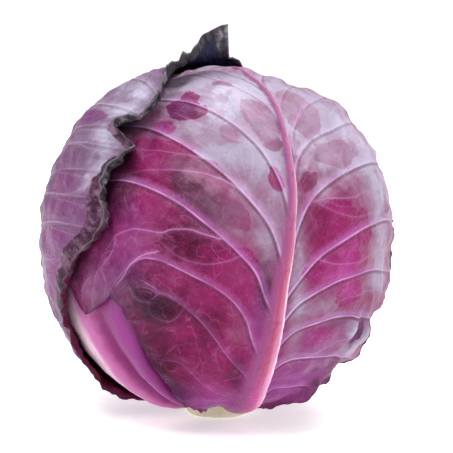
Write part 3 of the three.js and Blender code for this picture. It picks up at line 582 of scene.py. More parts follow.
# Branches of the side ribs: how much each stands out, then its points in chart degrees.
FRONT_TWIGS = [
    (0.8, [(-19, 7), (-22, 8), (-25, 9), (-28, 10), (-33, 10), (-36, 9), (-42, 10), (-46, 10), (-52, 7),
           (-57, -2), (-62, -15)]),
    (0.8, [(-11, 20), (-13, 22), (-16, 24), (-20, 26), (-24, 27), (-30, 28), (-36, 29), (-50, 29)]),
    (0.7, [(5, 34), (5, 44), (4, 52), (1, 57), (-3, 61), (-7, 66), (-11, 70)]),
    (0.7, [(7, 32), (8, 37), (9, 41), (14, 46), (20, 52), (26, 56)]),
    (0.5, [(6, 13), (10, 17), (18, 18), (27, 18), (36, 20), (46, 17)]),
    (0.35, [(-22, 32), (-31, 34), (-40, 37), (-52, 40)]),
    (0.3, [(-13, 2), (-20, 0), (-26, 0), (-33, 3), (-38, 8)]),
    (0.4, [(11, 0), (18, -2), (27, -2), (37, 0), (47, 0)]),
    (0.3, [(10, 18), (18, 14), (27, 12), (38, 13), (50, 14)]),
    (0.35, [(12, -33), (19, -30), (27, -29), (36, -31)]),
    (0.35, [(13, -20), (20, -15), (29, -13), (39, -13), (50, -17)]),
    (0.3, [(-4, 35), (-12, 38), (-20, 43), (-28, 50), (-36, 56)]),
    (0.35, [(-8, 27), (-7, 33), (-9, 40), (-13, 46)]),
    (0.35, [(-5, 11), (-9, 18), (-14, 30), (-20, 36)]),
    (0.3, [(25, 26), (25, 31), (28, 35), (31, 36)]),
    (1.0, [(-38, 3), (-42, 2), (-46, -1), (-49, -6), (-52, -11), (-55, -16)]),
    (0.5, [(-41, -7), (-38, -8.5), (-36, -9.5)]),
    (0.35, [(-46, -9), (-44, -12), (-40, -12.5), (-36, -9.5), (-32, -11), (-28, -10.5)]),
    (0.3, [(-40, -12.5), (-39, -17), (-35, -19), (-31, -17), (-28, -10.5)]),
    (0.5, [(-51, 6), (-54, 0), (-59, -7), (-60, -14), (-61, -20)]),
    (0.4, [(-57, -3), (-55, -8), (-56, -15)]),
    (0.4, [(-62, -8), (-65, -14), (-66, -21)]),
]
OUTER_TWIGS = [
    (0.5, [(41, 37), (52, 39), (57, 39), (63, 41)]),
    (0.5, [(23, 48), (40, 55), (50, 59), (61, 61)]),
    (0.4, [(47, 9), (58, 11), (65, 11), (69, 15)]),
    (0.4, [(53, -3), (60, -3), (68, 5)]),
    (0.4, [(45, 19), (61, 22), (69, 29)]),
]

# ---- meshes
INNER_FACE_STEP = 2


def grid_faces(rows, cols, start, flip):
    """Quads of a grid of points numbered from start, row by row."""
    r, c = np.meshgrid(np.arange(rows - 1), np.arange(cols - 1), indexing="ij")
    a = start + r * cols + c
    order = [a, a + 1, a + cols + 1, a + cols]
    if flip:
        order.reverse()
    return np.stack(order, -1).reshape(-1, 4)


def rim_places(rows, cols):
    """Rows and columns of a grid's outermost points, in order round it."""
    around = [(0, c) for c in range(cols)]
    around += [(r, cols - 1) for r in range(1, rows)]
    around += [(rows - 1, c) for c in range(cols - 2, -1, -1)]
    around += [(r, 0) for r in range(rows - 2, 0, -1)]
    return around


def make_mesh(name, points, faces, fields):
    """A smooth mesh from points in mm, with its fields as attributes of the points."""
    mesh = bpy.data.meshes.new(name)
    mesh.from_pydata((points * MM).tolist(), [], faces)
    mesh.polygons.foreach_set("use_smooth", np.ones(len(mesh.polygons), bool))
    for key, values in fields.items():
        values = np.ascontiguousarray(values, np.float32)
        if values.ndim == 1:
            mesh.attributes.new(key, "FLOAT", "POINT").data.foreach_set("value", values)
        else:
            mesh.attributes.new(key, "FLOAT_VECTOR", "POINT").data.foreach_set("vector", values.ravel())
    mesh.update()
    piece = bpy.data.objects.new(name, mesh)
    bpy.context.scene.collection.objects.link(piece)
    return piece


def sheet_piece(name, outer, inner, fields):
    """A closed blade between an outer grid and an inner grid that has every second point of it."""
    step = INNER_FACE_STEP
    rows, cols = outer.shape[:2]
    thin = inner[::step, ::step]
    points = np.concatenate([outer.reshape(-1, 3), thin.reshape(-1, 3)])
    faces = grid_faces(rows, cols, 0, False).tolist()
    faces += grid_faces(*thin.shape[:2], rows * cols, True).tolist()
    around = rim_places(rows, cols)
    for n in range(0, len(around), step):
        ends = [around[n], around[(n + step) % len(around)]]
        a, b = [r * cols + c for r, c in ends]
        middle = around[n + 1][0] * cols + around[n + 1][1]
        under = [rows * cols + (r // step) * thin.shape[1] + c // step for r, c in ends]
        faces.append([a, under[0], under[1], b, middle])
    both = {}
    for key, grid in fields.items():
        low = grid[::step, ::step]
        both[key] = np.concatenate([grid.reshape(-1, *grid.shape[2:]), low.reshape(-1, *low.shape[2:])])
    inside = np.zeros(len(points))
    inside[rows * cols:] = 1
    both["inside"] = inside
    return make_mesh(name, points, faces, both)


# Roundness of the midrib's left flank, and of the fuller right one.
LEFT_FLANK = 1.1
RIGHT_FLANK = (3.2, 0.75)


def midrib_section(u, side):
    """Height of the midrib's bar, a share u of its half width from its crest."""
    u = np.clip(u, 0, 1)
    if side == "left":
        return np.cos(u * math.pi / 2) ** LEFT_FLANK
    return (1 - u ** RIGHT_FLANK[0]) ** RIGHT_FLANK[1]


def turned_square(xy, spot):
    """Square of the distance from a turned ellipse's centre, 1 on its outline."""
    x, y, wide, tall, turn = spot
    c, s = math.cos(turn * DEG), math.sin(turn * DEG)
    dx, dy = xy[..., 0] - x, xy[..., 1] - y
    return ((dx * c + dy * s) / wide) ** 2 + ((dy * c - dx * s) / tall) ** 2


def spots(xy, rows):
    """Sum of soft spots in chart degrees: centre x and y, half sizes, turn in degrees and strength."""
    total = np.zeros(xy.shape[:-1])
    for *spot, strength in rows:
        total = total + strength * np.exp(-turned_square(xy, spot))
    return total


# Depth in mm where there is no patch near.
NO_PATCH = -30.0


def rubbed(xy, rows):
    """Signed depth inside the nearest patch, in mm: positive inside. Then how bare that patch is rubbed."""
    depth = np.full(xy.shape[:-1], NO_PATCH)
    bare = np.zeros(xy.shape[:-1])
    for *spot, strength in rows:
        short = min(spot[2:4])
        inside = (1 - np.sqrt(turned_square(xy, spot))) * short * SKIN_RADIUS * DEG
        bare = np.where(inside > depth, strength, bare)
        depth = np.maximum(depth, inside)
    return np.stack([depth, bare, 0 * bare], -1)


# ---- a leaf in fine detail
# Noises of a leaf and their wavelengths in mm. Each one's seed is the leaf's own plus its place in this list.
LEAF_NOISES = {"teeth": 5.0, "bites": 17.0, "frill": 13.0, "pucker": 12.0, "dent": 30.0, "crimp": 6.0}
# Columns of points lie a little closer towards the margin.
COLUMN_SPACING = 0.9
# The noise of the teeth counts from the first of these up. The second is the share of their size by which
# the whole margin is cut back.
TOOTH_OUT = -0.4
TOOTH_CUT = 0.3
# Stations over which cuts set in at the foot, the foot's torn margin ends, and the tip's calm margin starts.
FOOT_STATIONS = (0, 0.6)
TORN_STATIONS = (5.5, 4.0)
CALM_STATIONS = (11.2, 12.8)
# A cut draws in the row from this share on.
PULL_FROM = 0.6
# The roll loses ROLL_LOSS of its length for a cut of ROLL_CUT mm, and keeps ROLL_LEFT at least.
ROLL_LOSS = 0.8
ROLL_CUT = 10
ROLL_LEFT = 0.4
# The blade thins between these distances from the margin, in mm.
THIN_OVER = (12, 0.5)
# Distances from the margin at which quilting, dents and veins have grown to full height, and waves begin.
QUILT_OVER = 8
DENT_OVER = 20
VEIN_OVER = 4
FRILL_OVER = 16
# Room under the blade counts from ROOM_FROM mm on, up to MOST_ROOM. The blade drops into DROP_SHARE of it.
ROOM_FROM = 0.8
MOST_ROOM = 2
DROP_SHARE = 0.6
# The roll's crumples are this much closer together than the frill's waves.
CRUMPLE_SCALE = 1.7
# Marks the points beyond the midrib's bar in the field "midrib".
OFF_MIDRIB = 2


class LeafSide:
    """One side of a leaf in fine detail, as a grid of points with a row at each place t along the midrib."""

    def __init__(self, leaf, side, t, half, looks, noise, veins):
        self.leaf, self.side, self.looks, self.noise = leaf, side, looks, noise
        self.place = t
        self.calm = 1 - looks["calm"] * smooth(*CALM_STATIONS, t)[:, None]
        w, self.bar = self.shares(half, *looks["columns"])
        self.t = np.broadcast_to(t[:, None], w.shape)
        self.length = leaf.row_length(side, self.t)
        cut = self.margin_cut()
        pull = 1 - (cut / self.length) * smooth(PULL_FROM, 1, leaf.spread_share(side, self.t, w))
        roll = np.clip(1 - ROLL_LOSS * cut / ROLL_CUT, ROLL_LEFT, 1)
        self.w = np.where(w <= 1, w * pull, 1 + (w - 1) * roll)
        self.reach = leaf.spread_share(side, self.t, self.w)
        self.xy = leaf.flat(side, self.t, self.reach)
        self.skin = leaf.toward(self.xy) * SKIN_RADIUS
        self.gap, self.wide, self.shown, self.relief = veins.measure(self.skin)
        self.edge = self.margin_distance()

    def shares(self, half, bar_n, blade_n, roll_n):
        """Shares of the row as Leaf.point takes them, and shares of the midrib's half width."""
        foot = self.leaf.foot_share(self.side, self.place, half)[:, None]
        u = np.linspace(0, 1, bar_n + 1)[None, :]
        v = np.linspace(0, 1, blade_n + 1)[None, 1:] ** COLUMN_SPACING
        x = 1 + np.linspace(0, 1, roll_n + 1)[None, 1:] + 0 * foot
        w = np.concatenate([foot * u, foot + (1 - foot) * v, x], axis=1)
        bar = np.concatenate([u + 0 * foot, np.full((len(foot), blade_n + roll_n), 1.0)], axis=1)
        return w, bar

    def margin_cut(self):
        """How deep teeth, bites and notches cut into the margin, in mm."""
        t = self.place
        skin = self.leaf.toward(self.leaf.flat(self.side, t, np.ones_like(t))) * SKIN_RADIUS
        teeth, bites = self.looks["bite"]
        cut = teeth * np.maximum(self.noise["teeth"](skin), TOOTH_OUT) + bites * self.noise["bites"](skin)
        cut = np.clip(cut + TOOTH_CUT * teeth, 0, None)[:, None] * smooth(*FOOT_STATIONS, t)[:, None]
        cut = cut * (1 + self.looks["torn"] * smooth(*TORN_STATIONS, t))[:, None] * self.calm
        for side, middle, half_width, depth in self.looks["notches"]:
            if side == self.side:
                cut = cut + depth * np.exp(-((t - middle) / half_width) ** 2)[:, None]
        return cut

    def margin_distance(self):
        """Distance from the side margin or the leaf's tip, whichever is nearer, in mm."""
        last_step = np.linalg.norm(np.diff(self.leaf.mids, axis=0), axis=1)[-1]
        end = (self.leaf.last - self.t) * last_step * SKIN_RADIUS * DEG
        out = self.leaf.spread_share(self.side, self.t, self.w[:, -1:])
        return np.minimum(np.maximum(out - self.reach, 0) * self.length, np.maximum(end, 0))

    def heights(self, tall):
        """Heights of the blade's outer and inner face over the leaf's level."""
        looks, noise, skin, edge = self.looks, self.noise, self.skin, self.edge
        off_bar = smooth(0.6, 1, self.bar)
        thick = mix(BLADE, looks["margin"], smooth(*THIN_OVER, edge))
        section = midrib_section(self.bar, self.side) * tall[:, None]
        pillow = smooth(0.5, 6, abs(self.gap[0])) * (0.6 + 0.7 * noise["pucker"](skin))
        quilt = looks["pucker"] * (pillow - 0.5)
        quilt = quilt * smooth(0, QUILT_OVER, edge) * off_bar
        swell = looks["dent"] * noise["dent"](skin) * smooth(0, DENT_OVER, edge)
        height = thick + section + self.relief * off_bar * smooth(0, VEIN_OVER, edge + 1) + quilt
        wave = looks["frill"] * noise["frill"](skin) * smooth(FRILL_OVER, 0, edge) * smooth(0, 1.2, self.t)
        room = np.clip(self.leaf.clearance(self.side, self.t, self.w) - ROOM_FROM, 0, MOST_ROOM)
        crimp = looks["crimp"] * noise["crimp"](skin) * smooth(FRILL_OVER, 2, edge)
        wave = wave + crimp * smooth(0, 1.5, room)
        wave = wave * self.calm + spots(self.xy, looks["folds"])
        lowest = looks["lowest"] - DROP_SHARE * room
        under = np.maximum(wave, lowest)
        over = np.maximum(height + np.maximum(swell + wave, lowest), under + looks["margin"])
        return over, under

    def tones(self, *keys):
        """What the looks say at every point."""
        return [self.looks[key](self.xy, self.edge) for key in keys]

    def fields(self, along, outer):
        """What the materials read at every point."""
        left = self.side == "left"
        across = np.where(self.bar < 1, self.bar, OFF_MIDRIB) * (-1 if left else 1)
        grain = [self.t, self.reach * self.length, np.full_like(self.t, SIDES.index(self.side))]
        midrib = [across, along[:, None] + 0 * self.t, 0 * self.t]
        tint = np.stack(self.tones("white", "dusk", "rose"), -1)
        return {
            "skin": self.skin, "grain": np.stack(grain, -1), "edge": self.edge,
            "vein": np.stack([self.gap[0], self.wide[0], self.shown[0]], -1),
            "twig": np.stack([self.gap[1], self.wide[1], self.shown[1]], -1),
            "midrib": np.stack(midrib, -1),
            # tone holds bloom, warmth and painted shade; tint holds white, partly a painted highlight, then
            # dusk and rose.
            "tone": np.stack(self.tones("bloom", "warm", "shade"), -1), "tint": np.clip(tint, 0, 1),
            "hue": np.clip(*self.tones("violet"), 0, 1),
            "flange": self.looks["flange"](self.xy, self.edge) * (not left),
            "place": outer - HEAD_CENTRE, "rub": rubbed(self.xy, self.looks["rubbed"]),
        }

    def grids(self, along, tall):
        """Outer and inner face and fields, from left to right. The right side leaves out the midrib's crest,
        which the left side has."""
        over, under = self.heights(tall)
        crumple = 1 + self.looks["crumple"] * self.noise["frill"](self.skin * CRUMPLE_SCALE)
        outer = self.leaf.point(self.side, self.t, self.w, over, crumple)
        inner = self.leaf.point(self.side, self.t, self.w, under, crumple)
        order = slice(None, None, -1) if self.side == "left" else slice(1, None)
        grids = {"outer": outer, "inner": inner, **self.fields(along, outer)}
        return {key: grid[:, order] for key, grid in grids.items()}


def leaf_piece(name, plan, looks):
    """A leaf with veins, puckers between them, and teeth and ruffles at the margin."""
    leaf = Leaf(plan)
    t = np.linspace(0, leaf.last, looks["rows"])
    along = t / leaf.last
    half = curve(plan["midrib_width"], along * (len(plan["midrib_width"]) - 1)) / 2
    tall = curve(plan["midrib_height"], along * (len(plan["midrib_height"]) - 1))
    veins = Veins(leaf)
    looks["veins"](leaf, veins)
    noise = {key: Ripples(looks["seed"] + n, LEAF_NOISES[key]) for n, key in enumerate(LEAF_NOISES)}
    left, right = [LeafSide(leaf, side, t, half, looks, noise, veins).grids(along, tall) for side in SIDES]
    grids = {key: np.concatenate([left[key], right[key]], axis=1) for key in left}
    return sheet_piece(name, grids.pop("outer"), grids.pop("inner"), grids)


# ---- materials
def colour(code):
    """A hex sRGB colour as linear red, green, blue, 1."""
    parts = [int(code[n:n + 2], 16) / 255 for n in (1, 3, 5)]
    return [p / 12.92 if p <= 0.04045 else ((p + 0.055) / 1.055) ** 2.4 for p in parts] + [1.0]


class Paint:
    """Short calls that build one material's nodes. A colour is a hex code, a key of the palette or a node's
    output."""

    def __init__(self, name, palette=None):
        self.palette = palette or {}
        self.material = bpy.data.materials.new(name)
        self.material.use_nodes = True
        self.nodes = self.material.node_tree.nodes
        self.links = self.material.node_tree.links
        self.shader = self.nodes["Principled BSDF"]

    def put(self, socket, value):
        if isinstance(value, bpy.types.NodeSocket):
            self.links.new(value, socket)
        else:
            socket.default_value = value

    def node(self, kind, inputs):
        """A new node with its inputs, each a value or another node's output."""
        node = self.nodes.new("ShaderNode" + kind)
        for name, value in inputs.items():
            self.put(node.inputs[name], value)
        return node

    def field(self, name, part=None):
        """An attribute of the mesh: a vector, its part 0, 1 or 2, or its number if the part is "value"."""
        node = self.nodes.new("ShaderNodeAttribute")
        node.attribute_name = name
        if part is None:
            return node.outputs["Vector"]
        if part == "value":
            return node.outputs["Fac"]
        return self.node("SeparateXYZ", {0: node.outputs["Vector"]}).outputs[part]

    def math(self, operation, a, b=0.0):
        node = self.node("Math", {0: a, 1: b})
        node.operation = operation
        return node.outputs[0]

    def add(self, first, *more):
        for value in more:
            first = self.math("ADD", first, value)
        return first

    def minus(self, a, b):
        return self.math("SUBTRACT", a, b)

    def times(self, first, *more):
        for value in more:
            first = self.math("MULTIPLY", first, value)
        return first

    def size(self, value):
        return self.math("ABSOLUTE", value)

    def least(self, a, b):
        return self.math("MINIMUM", a, b)

    def most(self, a, b):
        return self.math("MAXIMUM", a, b)

    def swing(self, noise, amount):
        """Noise from 0 to 1 as a swing about 0."""
        return self.times(self.add(noise, -0.5), amount)

    def step(self, value, low, high, to_low=0.0, to_high=1.0):
        """Smooth step from to_low at low to to_high at high."""
        if low > high:
            low, high, to_low, to_high = high, low, to_high, to_low
        node = self.node("MapRange", {"From Min": low, "From Max": high, "To Min": to_low, "To Max": to_high})
        node.interpolation_type = "SMOOTHSTEP"
        self.put(node.inputs["Value"], value)
        return node.outputs["Result"]

    def blend(self, share, a, b):
        node = self.nodes.new("ShaderNodeMix")
        node.data_type = "RGBA"
        node.clamp_factor = True
        self.put(node.inputs["Factor"], share)
        for socket, value in ((node.inputs[6], a), (node.inputs[7], b)):
            self.put(socket, colour(self.palette.get(value, value)) if isinstance(value, str) else value)
        return node.outputs[2]

    def over(self, base, paint, share, *amounts):
        """A colour over the base, to a share times the amounts."""
        return self.blend(self.times(share, *amounts), base, paint)

    def noise(self, where, scale, detail=3.0, rough=0.55, twist=0.0):
        inputs = {"Vector": where, "Scale": scale, "Detail": detail, "Roughness": rough, "Distortion": twist}
        return self.node("TexNoise", inputs).outputs["Fac"]

    def cells(self, where, scale, feature):
        node = self.nodes.new("ShaderNodeTexVoronoi")
        node.feature = feature
        node.inputs["Scale"].default_value = scale
        self.links.new(where, node.inputs["Vector"])
        return node.outputs["Distance"]

    def scaled(self, where, x, y, z):
        node = self.nodes.new("ShaderNodeVectorMath")
        node.operation = "MULTIPLY"
        self.links.new(where, node.inputs[0])
        node.inputs[1].default_value = (x, y, z)
        return node.outputs[0]

    def distance(self, where):
        """Distance of a place from its origin."""
        node = self.nodes.new("ShaderNodeVectorMath")
        node.operation = "LENGTH"
        self.links.new(where, node.inputs[0])
        return node.outputs["Value"]

    def shifted(self, where, by, amount):
        """A place moved about by noise of scale by, so that straight patterns wander."""
        noise = self.node("TexNoise", {"Vector": where, "Scale": by, "Detail": 2.0})
        node = self.nodes.new("ShaderNodeVectorMath")
        node.operation = "MULTIPLY_ADD"
        self.links.new(noise.outputs["Color"], node.inputs[0])
        node.inputs[1].default_value = (amount, amount, amount)
        self.links.new(where, node.inputs[2])
        return node.outputs[0]

    def bump(self, height, strength):
        """Relief from a height in mm."""
        inputs = {"Height": height, "Strength": strength, "Distance": MM}
        return self.node("Bump", inputs).outputs["Normal"]

    def finish(self, base, rough, normal, specular=0.5):
        self.put(self.shader.inputs["Base Color"], base)
        self.put(self.shader.inputs["Roughness"], rough)
        self.links.new(normal, self.shader.inputs["Normal"])
        self.shader.inputs["Specular IOR Level"].default_value = specular
        return self.material


# A twig's halo and its own paleness, over a rib's.
TWIG_HALO = 0.45
TWIG_SHOW = 0.65


class LeafPaint(Paint):
    """Skin of a red cabbage leaf: wine and magenta flesh under a grey-lavender wax bloom that is rubbed off
    in patches, pale veins with pale halos above that are partly a painted highlight and a painted shadow
    line below, a net of small veins, painted shade under other leaves, and a dark margin."""

    def __init__(self, name, palette):
        super().__init__(name, palette)
        self.skin = self.field("skin")
        self.grain = self.field("grain")
        self.place = self.field("place")
        self.edge = self.field("edge", "value")
        # Painted shade from the looks' shade tone: under other leaves, in folds and inside the crest.
        self.shade = self.field("tone", 2)
        self.mottle = self.noise(self.skin, 0.16, 4.0, 0.55, 0.5)
        self.grit = self.noise(self.skin, 0.5, 4.0, 0.6)
        self.fine = self.noise(self.skin, 1.6, 3.0, 0.6)
        self.streak = self.noise(self.scaled(self.grain, 3.2, 0.035, 5.0), 1.6, 3.0, 0.55, 0.4)
        self.uneven = self.add(self.swing(self.mottle, 0.6), self.swing(self.grit, 0.25))
        self.read_net()
        self.read_bloom()
        self.read_veins()

    def read_net(self):
        """Two nets of small veins, and their lines."""
        along, across = self.palette["net"]
        self.net = self.cells(self.shifted(self.scaled(self.grain, along, across, 3.0), 1.3, 0.45), 1.0,
                              "DISTANCE_TO_EDGE")
        self.fine_net = self.cells(self.shifted(self.skin, 0.5, 1.2), 0.36, "DISTANCE_TO_EDGE")
        net_line = self.times(self.step(self.net, 0.035, 0.0), self.step(self.mottle, 0.35, 0.6))
        fine_line = self.times(self.step(self.fine_net, 0.05, 0.0), 0.3)
        self.lines = self.most(net_line, fine_line)

    def read_bloom(self):
        """How thick the wax bloom is: as the leaf's looks say, worn in blotches and rubbed off in patches."""
        coarse = self.swing(self.noise(self.skin, 0.11, 4.0, 0.6), 8.0)
        ragged = self.add(coarse, self.swing(self.grit, 2.0))
        rub = self.times(self.step(self.add(self.field("rub", 0), ragged), -0.3, 0.3), self.field("rub", 1))
        wear = self.step(self.noise(self.skin, 0.06, 5.0, 0.55, 0.7), 0.52, 0.57)
        bloom = self.add(self.field("tone", 0), self.times(self.uneven, 0.55), self.swing(self.streak, 0.3))
        bloom = self.times(bloom, self.minus(1.0, self.times(wear, self.palette["wear"])))
        bloom = self.times(bloom, self.minus(1.0, rub))
        self.bloom = self.least(self.most(bloom, 0.0), 0.94)

    def read_veins(self):
        """Distance, half width and strength of the nearest rib and of the nearest twig."""
        self.above = self.field("vein", 0)
        self.reach = self.size(self.above)
        self.half = self.field("vein", 1)
        self.strong = self.field("vein", 2)
        self.twig_reach = self.size(self.field("twig", 0))
        self.twig_half = self.field("twig", 1)
        self.twig_strong = self.field("twig", 2)
        faded = self.step(self.noise(self.skin, 0.1, 3.0), 0.38, 0.6, 0.45, 1.0)
        self.core = self.times(self.step(self.minus(self.half, self.reach), -0.25, 0.2), self.strong, faded)

    def flesh(self):
        """The bare leaf, from deep wine to bright magenta, with violet and dusky parts."""
        palette = self.palette
        cloud = self.noise(self.skin, 0.045, 3.0, 0.55)
        # The second part of tone is the flesh's warmth, which on the front leaf is lowered in places as
        # painted shade.
        warm = self.add(self.field("tone", 1), self.uneven, self.swing(cloud, 0.5))
        base = self.blend(self.step(warm, 0.0, 0.55), "deep", "flesh")
        base = self.blend(self.step(warm, 0.5, 1.05), base, "bright")
        base = self.blend(self.field("hue", "value"), base, "violet")
        patchy = self.step(self.add(self.mottle, self.times(self.grit, 0.4)), 0.5, 0.8, 0.55, 1.0)
        return self.over(base, "dusk", self.field("tint", 1), patchy, palette["dusk_show"])

    def wax(self, base):
        """The bloom over the flesh and the net of small veins."""
        palette = self.palette
        thick = self.step(self.add(self.field("tone", 0), self.uneven), 0.35, 1.0)
        paint = self.blend(thick, "bloom_low", "bloom")
        # Whiter bloom, partly its own colour and partly a painted highlight and sheen.
        white = self.add(self.field("tint", 0), self.add(self.uneven, self.swing(self.streak, 0.5)))
        paint = self.blend(self.step(white, 0.15, 1.1), paint, "white")
        base = self.over(base, "vein", self.lines, palette["net_show"])
        base = self.blend(self.bloom, base, paint)
        base = self.over(base, "net_dark", self.lines, self.bloom, 0.3)
        rosy = self.step(self.add(self.streak, self.mottle), 0.8, 1.2, 0.25, 1.0)
        return self.over(base, "rose", self.field("tint", 2), rosy, 0.6)

    def veins(self, base):
        """Ribs and twigs: a painted shadow line below, a ragged pale halo mostly above, partly a painted
        highlight, and the pale vein itself.
        """
        palette = self.palette
        ragged = self.swing(self.noise(self.skin, 0.8, 4.0, 0.7), 4.0)
        # The halo is the vein's pale colour, made stronger above it as a painted highlight.
        halo = self.times(self.step(self.add(self.reach, ragged), 4.0, 0.3), self.strong,
                          self.step(self.above, -0.8, 0.4, 0.15, 1.0))
        twig_halo = self.times(self.step(self.add(self.twig_reach, ragged), 1.8, 0.2), self.twig_strong)
        # A painted shadow line just below the vein, in the deep colour.
        shadow = self.times(self.step(self.size(self.add(self.above, 1.2)), 1.1, 0.2), self.strong)
        halo_paint = self.blend(self.bloom, "halo", "halo_pale")
        vein_paint = self.blend(self.bloom, "vein", "vein_pale")
        base = self.over(base, "deep", shadow, palette["shadow_show"])
        base = self.over(base, halo_paint, halo, palette["halo_show"])
        base = self.over(base, halo_paint, twig_halo, palette["halo_show"] * TWIG_HALO)
        inside_twig = self.step(self.minus(self.twig_half, self.twig_reach), -0.22, 0.2)
        base = self.over(base, vein_paint, self.core, palette["vein_show"])
        return self.over(base, vein_paint, inside_twig, self.twig_strong, palette["vein_show"] * TWIG_SHOW)

    def midrib(self, base):
        """The pale bar of the midrib: its foot, middle and top, a dim left flank and a bright right one."""
        palette = self.palette
        across = self.field("midrib", 0)
        along = self.field("midrib", 1)
        fibre = self.noise(self.scaled(self.field("midrib"), 9.0, 14.0, 0.0), 1.0, 3.0, 0.6)
        drift = self.add(across, self.swing(fibre, 0.5))
        rib = self.blend(self.step(along, 0.3, 0.16), "rib", "rib_foot")
        rib = self.blend(self.step(along, 0.55, 0.72), rib, "rib_top")
        rib = self.blend(self.step(drift, -0.6, 0.2), "rib_left", rib)
        right = self.step(drift, 0.15, 0.65)
        rib = self.over(rib, "rib_right", right, self.step(along, 0.5, 0.12, 0.3, 1.0))
        rib = self.over(rib, "halo", self.step(fibre, 0.5, 0.75), 0.25)
        line = self.step(across, 0.6, 0.78)
        rib = self.over(rib, "rib_line", line, self.step(along, 0.7, 0.4, 0.2, 0.9))
        inside = self.times(self.step(across, -1.0, -0.55), self.step(across, 1.03, 0.97))
        return self.over(base, rib, inside, palette["rib_show"])

    def dots(self, base):
        """Pale dots along the lower side of the ribs."""
        grains = self.step(self.noise(self.skin, 2.4, 2.0), 0.6, 0.68)
        beside = self.step(self.size(self.add(self.above, 1.8)), 2.2, 0.6)
        return self.over(base, "vein_pale", grains, beside, self.strong, 0.25)

    def blotches(self):
        """Blotches that run along the row, for folded margins and inner faces."""
        brushed = self.noise(self.scaled(self.grain, 5.0, 0.12, 0.0), 1.0, 3.0, 0.6)
        coarse = self.times(self.noise(self.place, 0.09, 4.0, 0.6, 0.6), 0.55)
        fine = self.times(self.noise(self.place, 0.4, 4.0, 0.6), 0.25)
        return self.add(coarse, fine, self.times(brushed, 0.3))

    def flange(self, base, blotch):
        """The band along the margin that is folded away from the light: its own darker colour together with
        painted shade, mottled dark and pale.
        """
        wander = self.swing(self.noise(self.place, 0.3, 3.0), 0.5)
        fold = self.step(self.add(self.field("flange", "value"), wander), 0.42, 0.58)
        paint = self.blend(self.step(blotch, 0.45, 0.6), "flange_dark", "flange")
        paint = self.over(paint, "flange_pale", self.step(blotch, 0.52, 0.68), 0.7)
        return self.over(base, paint, fold, 0.92)

    def margin(self, base):
        """Painted shade under other leaves, in folds and inside the crest, the dark margin and scattered dark
        specks.
        """
        palette = self.palette
        # dark serves both the painted shade here and the leaf's real dark specks below.
        base = self.blend(self.shade, base, "dark")
        near = self.step(self.add(self.edge, self.swing(self.mottle, 6.0)), palette["margin_reach"], 0.0)
        base = self.over(base, "margin", near, palette["margin_show"])
        speck = self.step(self.cells(self.skin, 0.45, "F1"), 0.085, 0.04)
        where = self.step(self.noise(self.skin, 0.06, 2.0), 0.54, 0.62)
        return self.over(base, "dark", speck, where, 0.5)

    def inner_face(self, blotch):
        """The leaf's inner face, which shows where the margin rolls or stands open."""
        under = self.blend(self.step(blotch, 0.44, 0.60), "under_dark", "under")
        under = self.over(under, "under_pale", self.step(blotch, 0.58, 0.68), 0.8)
        under = self.over(under, "bloom_low", self.core, 0.4)
        # A painted highlight along the very edge, where it catches the light.
        under = self.blend(self.step(self.edge, 0.6, 0.1, 0.0, 0.35), under, "under_pale")
        # Painted shade on the inner face inside the crest.
        under = self.blend(self.shade, under, "under_shade")
        low = self.step(self.field("place", 2), 45.0, -40.0)
        return self.over(under, "under_low", low, 0.9)

    def relief(self):
        """Fine relief in mm: pillows between the nets' lines, grit, streaks, ribs and twigs."""
        palette = self.palette
        pillow = self.times(self.least(self.net, 0.35), palette["pillow"])
        relief = self.add(pillow, self.times(self.least(self.fine_net, 0.25), 0.6))
        relief = self.add(relief, self.add(self.times(self.mottle, 0.4), self.times(self.streak, 0.25)))
        relief = self.add(relief, self.add(self.times(self.grit, 0.3), self.times(self.fine, 0.1)))
        ridge = self.times(self.step(self.minus(self.reach, self.half), 0.9, -0.4), self.strong)
        twig = self.times(self.step(self.minus(self.twig_reach, self.twig_half), 0.7, -0.3), self.twig_strong)
        return self.add(relief, self.add(self.times(ridge, 0.4), self.times(twig, 0.2)))

    def roughness(self):
        waxy = self.step(self.bloom, 0.1, 0.8, self.palette["gloss"], 0.5)
        return self.add(waxy, self.swing(self.fine, 0.10))


def leaf_material(name, palette):
    m = LeafPaint(name, palette)
    blotch = m.blotches()
    base = m.dots(m.midrib(m.veins(m.wax(m.flesh()))))
    base = m.margin(m.flange(base, blotch))
    base = m.blend(m.field("inside", "value"), base, m.inner_face(blotch))
    return m.finish(base, m.roughness(), m.bump(m.relief(), 0.75), 0.07)


# Of these, dark and under_shade are painted shade, deep also paints the shadow line below the veins, the
# flange colours paint the band turned from the light with shade, and the halo colours and white are partly
# painted highlight.
PALETTE = {
    "deep": "#3c0620", "flesh": "#73174a", "bright": "#97367b", "violet": "#823a80",
    "bloom": "#90889b", "bloom_low": "#80697f", "white": "#aaa5b8", "dusk": "#583c50", "dusk_show": 0.75,
    "rose": "#c48aa8",
    "vein": "#c585ba", "vein_pale": "#b3a3bd", "vein_show": 0.68,
    "halo": "#9a5796", "halo_pale": "#a397b0", "halo_show": 0.55, "shadow_show": 0.6,
    "rib": "#9c4664", "rib_foot": "#aa4a84", "rib_top": "#94597f", "rib_left": "#81416d",
    "rib_right": "#d498b8", "rib_line": "#e9cbdc", "rib_show": 0.95,
    "dark": "#1d0c1c", "margin": "#3d2a42", "margin_reach": 5.0, "margin_show": 0.55,
    "under": "#3e3840", "under_dark": "#141118", "under_pale": "#868189", "under_shade": "#191b38",
    "under_low": "#5a1436", "flange": "#502c44", "flange_dark": "#260f1e", "flange_pale": "#836e80",
    "net": (2.4, 0.11), "net_show": 0.12, "net_dark": "#6f5573", "pillow": 0.8,
    "wear": 0.28, "gloss": 0.33,
}


def palette(**changes):
    return {**PALETTE, **changes}


# ---- looks of each leaf
def nothing(xy, edge):
    return 0 * edge


